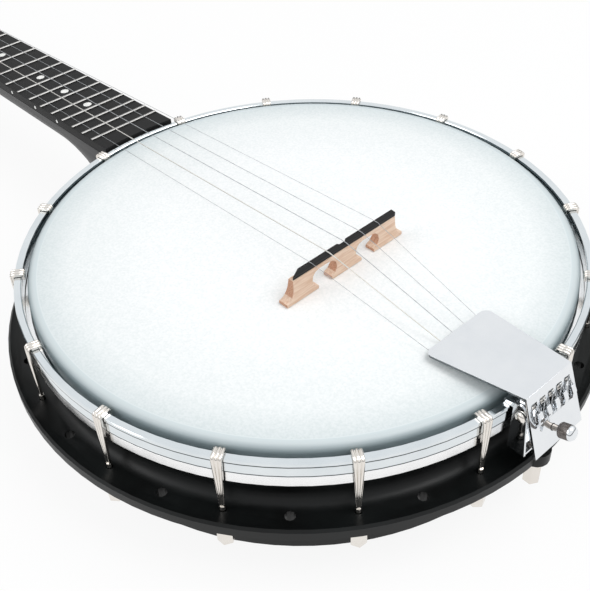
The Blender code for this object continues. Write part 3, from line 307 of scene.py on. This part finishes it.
def polished_metal(name, colour, smooth, dull, smudge):
    """Plated or polished metal: a clean mirror with faint wiping marks in its gloss."""
    made, tree, shader, place = start_material(name)
    shader.inputs["Metallic"].default_value = 1.0
    wipe = node(tree, "ShaderNodeTexNoise", Vector=place, Scale=smudge, Detail=5.0, Roughness=0.6)
    tint = ramp(tree, wipe.outputs["Fac"], ((0.3, colour), (0.7, lighter(colour))))
    tree.links.new(tint, shader.inputs["Base Color"])
    tree.links.new(spread(tree, wipe.outputs["Fac"], smooth, dull), shader.inputs["Roughness"])
    return made


def painted_shade_lines(made, levels, half):
    """A thin line of painted shade round a turned metal piece at each height, where one step meets the next.
    """
    tree = made.node_tree
    shader = tree.nodes["Principled BSDF"]
    place = node(tree, "ShaderNodeTexCoord").outputs["Object"]
    height = node(tree, "ShaderNodeSeparateXYZ", Vector=place).outputs["Z"]
    colour = shader.inputs["Base Color"].links[0].from_socket
    for level in levels:
        line = node(tree, "ShaderNodeMath", {"operation": "COMPARE"}, i0=height, i1=level, i2=half)
        colour = node(tree, "ShaderNodeMix", {"data_type": "RGBA"}, Factor=line.outputs[0], i6=colour,
                      i7=linear("#4a5053")).outputs[2]
    tree.links.new(colour, shader.inputs["Base Color"])


def grain_pattern(tree, place, spacing, along=0.04):
    """Wood fibres along X, stretched noise at a real spacing."""
    laid = node(tree, "ShaderNodeMapping", Vector=place, Scale=(along, 1.0, 1.0))
    return node(tree, "ShaderNodeTexNoise", Vector=laid.outputs[0], Scale=1 / spacing, Detail=5.0,
                Roughness=0.65, Distortion=0.3).outputs["Fac"]


def satin_lacquer():
    """Maple under a dark grey tinted satin lacquer: the grain only just shows, the sheen is even."""
    made, tree, shader, place = start_material("tinted_lacquer")
    fibre = grain_pattern(tree, place, 0.004)
    tree.links.new(ramp(tree, fibre, ((0.3, "#1f1f20"), (0.7, "#2c2c2d"))), shader.inputs["Base Color"])
    tree.links.new(spread(tree, fibre, 0.36, 0.46), shader.inputs["Roughness"])
    shader.inputs["Specular IOR Level"].default_value = 0.35
    bumped(tree, shader, fibre, 0.05, 0.0001)
    return made


def fretted_board(look):
    """Dyed hardwood with open pores, and nickel silver wherever the solid stands over the board's face."""
    made, tree, shader, place = start_material("dyed_board_and_frets")
    fibre = grain_pattern(tree, place, 0.0012, 0.03)
    tree.links.new(ramp(tree, fibre, ((0.3, "#131314"), (0.62, "#1d1d1d"), (0.75, "#292827"))),
                   shader.inputs["Base Color"])
    tree.links.new(spread(tree, fibre, 0.5, 0.62), shader.inputs["Roughness"])
    shader.inputs["Specular IOR Level"].default_value = 0.2
    bumped(tree, shader, fibre, 0.25, 0.00008)
    metal = node(tree, "ShaderNodeBsdfPrincipled", Base_Color=linear("#8c8b89"), Metallic=1.0, Roughness=0.32)
    start = board_matrix(look).translation
    up = board_matrix(look).to_3x3() @ Vector((0, 0, 1))
    height = node(tree, "ShaderNodeVectorMath", {"operation": "DOT_PRODUCT"}, i0=place, i1=tuple(up))
    fret_foot = 0.00015
    raised = node(tree, "ShaderNodeMath", {"operation": "GREATER_THAN"}, i0=height.outputs["Value"],
                  i1=start.dot(up) + fret_foot)
    both = node(tree, "ShaderNodeMixShader", Fac=raised.outputs[0], i1=shader.outputs[0], i2=metal.outputs[0])
    tree.links.new(both.outputs[0], tree.nodes["Material Output"].inputs["Surface"])
    return made


def raw_wood(name, light, dark, spacing, roughness):
    """Bare quartered wood across the strings: fine fibres with small darker flecks."""
    made, tree, shader, place = start_material(name)
    laid = node(tree, "ShaderNodeMapping", Vector=place, Scale=(1.0, 0.08, 1.0))
    fibre = node(tree, "ShaderNodeTexNoise", Vector=laid.outputs[0], Scale=1 / spacing,
                 Detail=4.0).outputs["Fac"]
    tree.links.new(ramp(tree, fibre, ((0.35, dark), (0.6, light))), shader.inputs["Base Color"])
    shader.inputs["Roughness"].default_value = roughness
    shader.inputs["Specular IOR Level"].default_value = 0.25
    bumped(tree, shader, fibre, 0.2, 0.00006)
    return made


def smooth_plastic(name, light, dark, scale, roughness):
    """Polished plastic, bone or shell with slow clouds in its colour."""
    made, tree, shader, place = start_material(name)
    cloud = node(tree, "ShaderNodeTexNoise", Vector=place, Scale=scale, Detail=4.0, Distortion=0.8)
    colour = ramp(tree, cloud.outputs["Fac"], ((0.35, dark), (0.65, light)))
    tree.links.new(colour, shader.inputs["Base Color"])
    shader.inputs["Roughness"].default_value = roughness
    return made


def drawn_wire(name, colour, spacing):
    """Drawn or wound wire; the winding's turns show as fine rings along X."""
    made, tree, shader, place = start_material(name)
    shader.inputs["Metallic"].default_value = 1.0
    # The spacing is one radian of the wave, so the rings are 2 pi times as far apart and show.
    turns = node(tree, "ShaderNodeTexWave", {"bands_direction": "X"}, Vector=place,
                 Scale=1 / spacing / WAVE_RADIANS)
    tint = ramp(tree, turns.outputs["Fac"], ((0.2, colour), (0.8, lighter(colour))))
    tree.links.new(tint, shader.inputs["Base Color"])
    shader.inputs["Roughness"].default_value = 0.28
    return made


def material(name):
    """A finish that was made before."""
    return bpy.data.materials[name]


def body_of(name):
    """The CAD body that holds a node."""
    for body, nodes in frame["record"]["behaviour"]["bodies"].items():
        if name in nodes:
            return body
    raise RuntimeError("no body holds " + name)


def joint_of(name):
    """A joint's entry in the record."""
    return next(entry for entry in frame["record"]["behaviour"]["joints"] if entry["name"] == name)


def as_piece(name, bm, finish, body):
    """A finished mesh as a piece that rides on a body."""
    mesh = bpy.data.meshes.new(name)
    bm.to_mesh(mesh)
    bm.free()
    # A copied solid still holds its own corner normals, which would tilt the smooth ones.
    if "custom_normal" in mesh.attributes:
        mesh.attributes.remove(mesh.attributes["custom_normal"])
    mesh.materials.append(finish)
    mesh.shade_smooth()
    mesh.set_sharp_from_angle(angle=SHARP_ANGLE)
    piece = bpy.data.objects.new(name, mesh)
    bpy.context.scene.collection.objects.link(piece)
    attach(piece, body)
    return piece


def dressed(name, finish, ease=0.0, segments=2):
    """A smooth-shaded copy of a solid, its hard edges eased by a real radius, in place of the solid."""
    bm = bmesh.new()
    bm.from_mesh(frame["nodes"][name].data)
    bmesh.ops.remove_doubles(bm, verts=bm.verts, dist=MERGE_DISTANCE)
    bmesh.ops.dissolve_limit(bm, angle_limit=FLAT_ANGLE, verts=bm.verts, edges=bm.edges)
    piece = as_piece(name + "_dressed", bm, finish, body_of(name))
    if ease:
        bevel = piece.modifiers.new("eased_edges", "BEVEL")
        bevel.width = ease
        bevel.segments = segments
        bevel.limit_method = "ANGLE"
        bevel.angle_limit = EASED_ANGLE
    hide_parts(name)
    return piece


def board_matrix(look):
    """The fingerboard's own frame: its start at the hoop, X along the strings, Z out of the board."""
    start = pot_centre + Vector((hoop_radius + look.board_to_hoop, 0, head_level - look.board_below_head))
    return Matrix.Translation(start) @ Matrix.Rotation(look.neck_angle, 4, "Y")


def fret_x(look, number):
    """A fret's place along the board's frame."""
    bridge_to_board = (hoop_radius + look.board_to_hoop + look.bridge_line) / math.cos(look.neck_angle)
    nut = look.scale_length - bridge_to_board
    return nut - look.scale_length * (1 - 2 ** (-number / 12))


class BANJO_OT_pot(Operator):
    """Dress the rim, head, hoops and hooks"""

    bl_idname = "banjo.pot"
    bl_label = "Pot"

    def execute(self, context):
        look = context.scene.banjo_pot
        composite = moulded_composite(look)
        film = coated_film(look)
        chrome = polished_metal("chrome_plate", "#e3e6e9", 0.05, 0.10, 60.0)
        aluminium = polished_metal("polished_aluminium", "#f6f6f6", 0.16, 0.24, 90.0)
        plated = polished_metal("plated_hoop", "#d9dfe2", 0.07, 0.12, 60.0)
        half_line = look.line_width / 2
        # The two lines are painted shade under the bead and at the hoop's foot.
        painted_shade_lines(plated, (hoop_high[2] - look.bead_height, hoop_low[2] + half_line), half_line)
        nickel = polished_metal("nickel_plate", "#e3ddd6", 0.10, 0.16, 80.0)
        dressed("rim", composite)
        dressed("head", film)
        dressed("tension_hoop", plated)
        dressed("flesh_hoop", aluminium)
        for name in HOOKS:
            dressed(name, nickel, 0.00025)
        for name in ("coordinator_rod", "rod_nut_neck", "rod_nut_tail", "rod_nut_outer"):
            dressed(name, chrome, 0.0003)
        return {"FINISHED"}


class BANJO_OT_hook_ribs(Operator):
    """Lay three rounded ribs over each bracket hook"""

    bl_idname = "banjo.hook_ribs"
    bl_label = "Hook ribs"

    def execute(self, context):
        look = context.scene.banjo_hooks
        gap = 0.0003
        sunk_share = 0.45
        sink = look.rib_radius * sunk_share
        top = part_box("bracket_hook_04")[1][2] - sink
        inner = hoop_radius - look.hoop_wall - gap - look.hook_thickness + sink
        outer = hoop_radius + gap + look.hook_thickness - sink
        bend = look.rib_radius
        # Depths under the rib's highest point: its inner tip, its shoulder and a point down its taper.
        tip, shoulder, taper = 0.0017, 0.0050, 0.0140
        # Radius, height and the share of the full spread at each point of a rib.
        path = ((inner, top - tip, 0.9), (inner, top - bend, 1), (inner + bend, top, 1),
                (outer - bend, top, 1), (outer, top - bend, 1), (outer, top - shoulder, 0.92),
                (outer, top - taper, 0.66), (outer, look.foot_level, 0.2))
        # Shares of a rib's radius at its foot, and for the middle rib.
        foot_share, middle_share = 0.55, 1.15
        curve = bpy.data.curves.new("hook_ribs", "CURVE")
        curve.dimensions = "3D"
        curve.bevel_depth = look.rib_radius
        curve.bevel_resolution = 2
        curve.use_fill_caps = True
        for index in range(len(HOOKS)):
            # The first hook stands half a step past the X axis.
            angle = (index + 0.5) * 2 * math.pi / len(HOOKS)
            turn = Matrix.Translation(pot_centre) @ Matrix.Rotation(angle, 4, "Z")
            for side in (-1, 0, 1):
                spline = curve.splines.new("POLY")
                spline.points.add(len(path) - 1)
                for point, (radius, level, share) in zip(spline.points, path):
                    point.co = (*(turn @ Vector((radius, side * look.rib_spread * share, level))), 1)
                    at_foot = level <= look.foot_level
                    point.radius = (foot_share if at_foot else 1.0) * (1.0 if side else middle_share)
                spline.use_smooth = True
        curve.materials.append(material("nickel_plate"))
        ribs = bpy.data.objects.new("hook_ribs", curve)
        context.scene.collection.objects.link(ribs)
        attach(ribs, "banjo")
        return {"FINISHED"}


class BANJO_OT_tailpiece(Operator):
    """Dress the tailpiece, its bracket, screw and knob"""

    bl_idname = "banjo.tailpiece"
    bl_label = "Tailpiece"

    def execute(self, context):
        chrome = material("chrome_plate")
        cover = dressed("tailpiece_cover", chrome, 0.0002)
        # The cover plate's sides are painted dark, a painted reflection of the dark along the plate's thin
        # edge.
        cover.data.materials.append(polished_metal("sheared_edge", "#5b6265", 0.3, 0.4, 200.0))
        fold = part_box("tailpiece_pin")[1][0]
        sideways = 0.9
        for face in cover.data.polygons:
            if abs(face.normal.y) > sideways and face.center.x > fold:
                face.material_index = 1
        dressed("tailpiece_bracket", chrome, 0.0002)
        for name in ("tailpiece_pin", "tailpiece_bolt", "tailpiece_nut"):
            dressed(name, material("nickel_plate"), 0.00015)
        dressed("tension_screw", polished_metal("turned_screw", "#8f8780", 0.22, 0.32, 300.0), 0.00015)
        self.knob(chrome)
        return {"FINISHED"}

    def knob(self, chrome):
        """The knob: a straight-knurled barrel with a bright domed end."""
        turned_steel = polished_metal("knurled_steel", "#57514d", 0.35, 0.5, 400.0)
        joint = joint_of("knob_turn")
        axis = Vector(joint["axis"]).normalized()
        start = Vector(joint["pos_m"])
        reaches = [vertex.co - start for vertex in frame["nodes"]["tension_knob"].data.vertices]
        along = [reach.dot(axis) for reach in reaches]
        near, far = min(along), max(along)
        radius = max((reach - axis * reach.dot(axis)).length for reach in reaches)
        bm = bmesh.new()
        barrel_start, barrel_end = near + 0.0004, far - 0.0019
        # Distance from the axis and height: the domed end, its step, the barrel and its chamfer.
        profile = ((0, far), (radius * 0.45, far - 0.00015), (radius * 0.78, far - 0.0006),
                   (radius * 0.93, far - 0.0013), (radius * 0.94, far - 0.0016), (radius, barrel_end),
                   (radius, barrel_start), (radius * 0.88, near), (0, near))
        # Every second step of the barrel is a groove; the rest of the profile is too narrow to have one.
        steps, groove_share, barrel_share = 56, 0.945, 0.97
        points = [bm.verts.new((distance, 0, height)) for distance, height in profile]
        edges = [bm.edges.new(pair) for pair in zip(points, points[1:])]
        bmesh.ops.spin(bm, geom=points + edges, cent=(0, 0, 0), axis=(0, 0, 1), dvec=(0, 0, 0),
                       angle=FULL_TURN, steps=steps, use_merge=True, use_duplicate=False)
        bmesh.ops.remove_doubles(bm, verts=bm.verts, dist=1e-6)
        for vertex in bm.verts:
            step = round((math.atan2(vertex.co.y, vertex.co.x) % FULL_TURN) / FULL_TURN * steps)
            if step % 2 and vertex.co.xy.length > radius * barrel_share:
                vertex.co.xy *= groove_share
        bmesh.ops.recalc_face_normals(bm, faces=bm.faces)
        for face in bm.faces:
            face.material_index = 1 if barrel_start < face.calc_center_median().z < barrel_end else 0
        bm.transform(Matrix.Translation(start) @ axis.to_track_quat("Z", "Y").to_matrix().to_4x4())
        piece = as_piece("knurled_knob", bm, chrome, "tail_knob")
        piece.data.materials.append(turned_steel)
        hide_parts("tension_knob")


class BANJO_OT_neck(Operator):
    """Dress the neck, fingerboard, nut and headstock cover"""

    bl_idname = "banjo.neck"
    bl_label = "Neck"

    def execute(self, context):
        dressed("neck", satin_lacquer())
        dressed("fingerboard", fretted_board(context.scene.banjo_neck))
        bone = smooth_plastic("polished_bone", "#efeade", "#ddd6c4", 200.0, 0.32)
        dressed("nut", bone, 0.0002)
        dressed("fifth_string_nut", bone, 0.0002)
        black = raw_wood("oiled_ebony", "#1a1818", "#0d0c0c", 0.0008, 0.5)
        dressed("truss_rod_cover", black, 0.0003)
        return {"FINISHED"}


class BANJO_OT_inlays(Operator):
    """Set the face dots and side dots into the fingerboard"""

    bl_idname = "banjo.inlays"
    bl_label = "Inlays"

    def execute(self, context):
        look = context.scene.banjo_neck
        pearl = smooth_plastic("pearl_dot", "#fbfaf6", "#e4e6e2", 500.0, 0.22)
        place = board_matrix(look)
        board_thickness = 0.005
        # Half the board's width at its last fret and at the fifth string's peg.
        half_at_last, half_at_peg = 0.024, 0.0193
        # Up to the peg the board carries four strings, so its middle lies to their side.
        four_string_middle = -0.0018
        for number in DOT_FRETS:
            x = (fret_x(look, number) + fret_x(look, number - 1)) / 2
            bm = bmesh.new()
            middle = Matrix.Translation(
                (x, four_string_middle if number <= PEG_FRET else 0, look.dot_proud / 2))
            bmesh.ops.create_cone(bm, cap_ends=True, segments=28, radius1=look.dot_radius,
                                  radius2=look.dot_radius, depth=look.dot_proud, matrix=place @ middle)
            as_piece("face_dot_%02d" % number, bm, pearl, "banjo")
            last = fret_x(look, LAST_FRET)
            share = (x - last) / (fret_x(look, PEG_FRET) - last)
            half = half_at_last + (half_at_peg - half_at_last) * share
            if number > PEG_FRET:
                bm = bmesh.new()
                edge = Matrix.Translation((x, half, -board_thickness / 2))
                side = edge @ Matrix.Rotation(-math.pi / 2, 4, "X")
                bmesh.ops.create_cone(bm, cap_ends=True, segments=20, radius1=look.side_dot_radius,
                                      radius2=look.side_dot_radius, depth=look.dot_proud * 4,
                                      matrix=place @ side)
                as_piece("side_dot_%02d" % number, bm, pearl, "banjo")
        return {"FINISHED"}


class BANJO_OT_bridge(Operator):
    """Dress the bridge"""

    bl_idname = "banjo.bridge"
    bl_label = "Bridge"

    def execute(self, context):
        maple = raw_wood("raw_maple", "#ecd2bd", "#dbb79c", 0.0009, 0.6)
        base = dressed("bridge_base", maple, 0.0003)
        # End grain is darker and redder, so the cut ends and the arches' sides get a darker, redder maple; on
        # the arches' sides part of that darkness is painted shade.
        base.data.materials.append(raw_wood("maple_end_grain", "#d3a78c", "#b98468", 0.0006, 0.7))
        towards_end = 0.8
        for face in base.data.polygons:
            if face.normal.y > towards_end:
                face.material_index = 1
        dressed("bridge_top", material("oiled_ebony"), 0.00025)
        return {"FINISHED"}


class BANJO_OT_strings(Operator):
    """Dress the strings and lay their loop ends round the tailpiece's tangs"""

    bl_idname = "banjo.strings"
    bl_label = "Strings"

    def execute(self, context):
        look = context.scene.banjo_strings
        plain = drawn_wire("plain_steel_wire", "#b4b7ba", 0.001)
        wound = drawn_wire("wound_bronze_wire", "#e9e6df", 0.0004)
        for number, name in enumerate(STRINGS, 1):
            dressed(name, wound if number == WOUND_STRING else plain)
            self.loop_end(context, look, number, plain)
        return {"FINISHED"}

    def loop_end(self, context, look, number, finish):
        """One string's loop, round its tang on the end plate."""
        fold_behind_pin = 0.0014
        fold = Vector((joint_of("tailpiece_tilt")["pos_m"][0] - fold_behind_pin, 0,
                       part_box("tailpiece_cover")[1][2]))
        down = Vector((-math.sin(look.plate_angle), 0, -math.cos(look.plate_angle)))
        out = Vector((-math.cos(look.plate_angle), 0, math.sin(look.plate_angle)))
        half = look.loop_width
        length = look.loop_end - look.loop_start
        # Share of the loop's length, share of its half width, and height off the plate.
        side = ((0, 0, 0.0012), (0.22, 0.55, 0.0011), (0.45, 0.95, 0.0009), (0.68, 1.0, 0.0007),
                (0.90, 0.62, 0.0005))
        bend = (1, 0, 0.00045)
        other_side = [(share, -width, level) for share, width, level in reversed(side[1:])]
        path = [*side, bend, *other_side]
        curve = bpy.data.curves.new("string_loop_%d" % number, "CURVE")
        curve.dimensions = "3D"
        curve.bevel_depth = look.loop_wire
        curve.bevel_resolution = 2
        spline = curve.splines.new("BEZIER")
        spline.bezier_points.add(len(path) - 1)
        spline.use_cyclic_u = True
        for point, (share, width, level) in zip(spline.bezier_points, path):
            point.co = (fold + down * (look.loop_start + length * share) + out * level
                        + Vector((0, (number - MIDDLE_STRING) * look.pitch + half * width, 0)))
            point.handle_left_type = point.handle_right_type = "AUTO"
        curve.resolution_u = 4
        curve.materials.append(finish)
        loop = bpy.data.objects.new("string_loop_%d" % number, curve)
        context.scene.collection.objects.link(loop)
        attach(loop, "tail_cover")


class BANJO_OT_tuners(Operator):
    """Dress the tuners"""

    bl_idname = "banjo.tuners"
    bl_label = "Tuners"

    def execute(self, context):
        chrome = material("chrome_plate")
        cream = smooth_plastic("cast_cream_plastic", "#f1ecdc", "#e2dac3", 120.0, 0.2)
        for name in TUNER_METAL:
            dressed(name, chrome, 0.0002)
        # A wide angle keeps a button's rounded faces smooth.
        button_edge = math.radians(80)
        for name in TUNER_BUTTONS:
            piece = dressed(name, cream)
            piece.data.set_sharp_from_angle(angle=button_edge)
        return {"FINISHED"}


class BANJO_OT_studio(Operator):
    """Set up the floor, lamps, world and camera"""

    bl_idname = "banjo.studio"
    bl_label = "Studio"

    def execute(self, context):
        look = context.scene.banjo_studio
        scene = context.scene
        scene.view_settings.view_transform = "Standard"
        self.floor()
        self.world(scene, look)
        self.lamps(scene, look)
        camera = bpy.data.objects.new("camera", bpy.data.cameras.new("camera"))
        scene.collection.objects.link(camera)
        camera.data.sensor_fit = "HORIZONTAL"
        camera.data.sensor_width = 36.0
        camera.data.lens = look.lens
        camera.data.clip_start = 0.01
        forward = Vector((math.cos(look.elevation) * math.cos(look.azimuth),
                          math.cos(look.elevation) * math.sin(look.azimuth), -math.sin(look.elevation)))
        right = forward.cross(Vector((0, 0, 1))).normalized()
        up = right.cross(forward)
        rolled_right = math.cos(look.roll) * right + math.sin(look.roll) * up
        rolled_up = math.cos(look.roll) * up - math.sin(look.roll) * right
        turn = Matrix((rolled_right, rolled_up, -forward)).transposed().to_4x4()
        camera.matrix_world = Matrix.Translation(pot_centre + Vector(look.camera_place)) @ turn
        scene.camera = camera
        return {"FINISHED"}

    def floor(self):
        """A pale floor, mostly white to the camera and to reflections, that keeps the shadow."""
        half_size, white_share = 6.0, 0.9
        # The floor lies a hair below the rim's back, so that the two faces don't flicker.
        drop = 0.0002
        bm = bmesh.new()
        bmesh.ops.create_grid(bm, x_segments=1, y_segments=1, size=half_size,
                              matrix=Matrix.Translation((0, 0, -drop)))
        mesh = bpy.data.meshes.new("floor")
        bm.to_mesh(mesh)
        bm.free()
        made, tree, shader = start_material("studio_floor")[:3]
        shader.inputs["Base Color"].default_value = linear("#f7f7f7")
        shader.inputs["Roughness"].default_value = 0.9
        shader.inputs["Specular IOR Level"].default_value = 0.0
        white = node(tree, "ShaderNodeEmission", Color=(1, 1, 1, 1), Strength=1.0)
        path = node(tree, "ShaderNodeLightPath")
        seen = node(tree, "ShaderNodeMath", {"operation": "MAXIMUM"}, i0=path.outputs["Is Camera Ray"],
                    i1=path.outputs["Is Glossy Ray"])
        share = node(tree, "ShaderNodeMath", {"operation": "MULTIPLY"}, i0=seen.outputs[0], i1=white_share)
        both = node(tree, "ShaderNodeMixShader", Fac=share.outputs[0], i1=shader.outputs[0],
                    i2=white.outputs[0])
        tree.links.new(both.outputs[0], tree.nodes["Material Output"].inputs["Surface"])
        mesh.materials.append(made)
        floor = bpy.data.objects.new("floor", mesh)
        bpy.context.scene.collection.objects.link(floor)

    def world(self, scene, look):
        """Plain light from all round, white to the camera, with a darker horizon in reflections."""
        scene.world = bpy.data.worlds.new("studio")
        scene.world.use_nodes = True
        tree = scene.world.node_tree
        background = tree.nodes["Background"]
        path = node(tree, "ShaderNodeLightPath")
        plain = node(tree, "ShaderNodeMath", {"operation": "MAXIMUM"}, i0=path.outputs["Is Camera Ray"],
                     i1=path.outputs["Is Glossy Ray"])
        level = node(tree, "ShaderNodeMapRange", i0=plain.outputs[0], i3=look.world_level, i4=1.0)
        tree.links.new(level.outputs["Result"], background.inputs["Strength"])
        coordinate = node(tree, "ShaderNodeTexCoord").outputs["Generated"]
        height = node(tree, "ShaderNodeSeparateXYZ", Vector=coordinate)
        # A dark stretch low on the horizon gives the chrome its dark lines.
        colour = ramp(tree, height.outputs["Z"], ((0.0, "#5b6064"), (0.12, "#6c7175"), (0.24, "#ffffff"),
                                                  (1.0, "#f4f7fa")))
        seen = node(tree, "ShaderNodeMix", {"data_type": "RGBA"}, Factor=path.outputs["Is Camera Ray"],
                    i6=colour, i7=(1, 1, 1, 1))
        tree.links.new(seen.outputs[2], background.inputs["Color"])

    def lamps(self, scene, look):
        """A large softbox overhead and a weaker one over the neck's side."""
        # Name, place from the pot's middle, side and share of the key's power.
        places = (("key_softbox", (-0.7, -0.5, 1.5), 1.2, 1.0), ("fill_softbox", (0.6, 1.2, 1.2), 1.0, 0.45))
        for name, offset, size, share in places:
            lamp = bpy.data.lights.new(name, "AREA")
            lamp.shape = "SQUARE"
            lamp.size = size
            lamp.energy = look.key_power * share
            made = bpy.data.objects.new(name, lamp)
            scene.collection.objects.link(made)
            made.location = pot_centre + Vector(offset)
            made.rotation_euler = (-Vector(offset)).to_track_quat("-Z", "Y").to_euler()


class BANJO_PT_panel(Panel):
    """The banjo's steps in the sidebar"""

    bl_label = "Banjo"
    bl_idname = "BANJO_PT_panel"
    bl_space_type = "VIEW_3D"
    bl_region_type = "UI"
    bl_category = "Banjo"

    def draw(self, context):
        for operator in OPERATORS:
            self.layout.operator(operator.bl_idname)
        for look in [getattr(context.scene, name) for name in GROUPS]:
            for name in look.bl_rna.properties.keys():
                if name not in {"rna_type", "name"}:
                    self.layout.prop(look, name)


OPERATORS = (BANJO_OT_pot, BANJO_OT_hook_ribs, BANJO_OT_tailpiece, BANJO_OT_neck, BANJO_OT_inlays,
             BANJO_OT_bridge, BANJO_OT_strings, BANJO_OT_tuners, BANJO_OT_studio)
GROUPS = {"banjo_pot": PotLook, "banjo_hooks": HookLook, "banjo_neck": NeckLook,
          "banjo_strings": StringLook, "banjo_studio": StudioLook}


def register():
    for group in GROUPS.values():
        bpy.utils.register_class(group)
    for name, group in GROUPS.items():
        setattr(bpy.types.Scene, name, PointerProperty(type=group))
    for kind in (*OPERATORS, BANJO_PT_panel):
        bpy.utils.register_class(kind)


def unregister():
    for kind in (BANJO_PT_panel, *reversed(OPERATORS)):
        bpy.utils.unregister_class(kind)
    for name, group in GROUPS.items():
        delattr(bpy.types.Scene, name)
        bpy.utils.unregister_class(group)


def main():
    register()
    bpy.ops.banjo.pot()
    bpy.ops.banjo.hook_ribs()
    bpy.ops.banjo.tailpiece()
    bpy.ops.banjo.neck()
    bpy.ops.banjo.inlays()
    bpy.ops.banjo.bridge()
    bpy.ops.banjo.strings()
    bpy.ops.banjo.tuners()
    bpy.ops.banjo.studio()


if __name__ == "__main__":
    main()
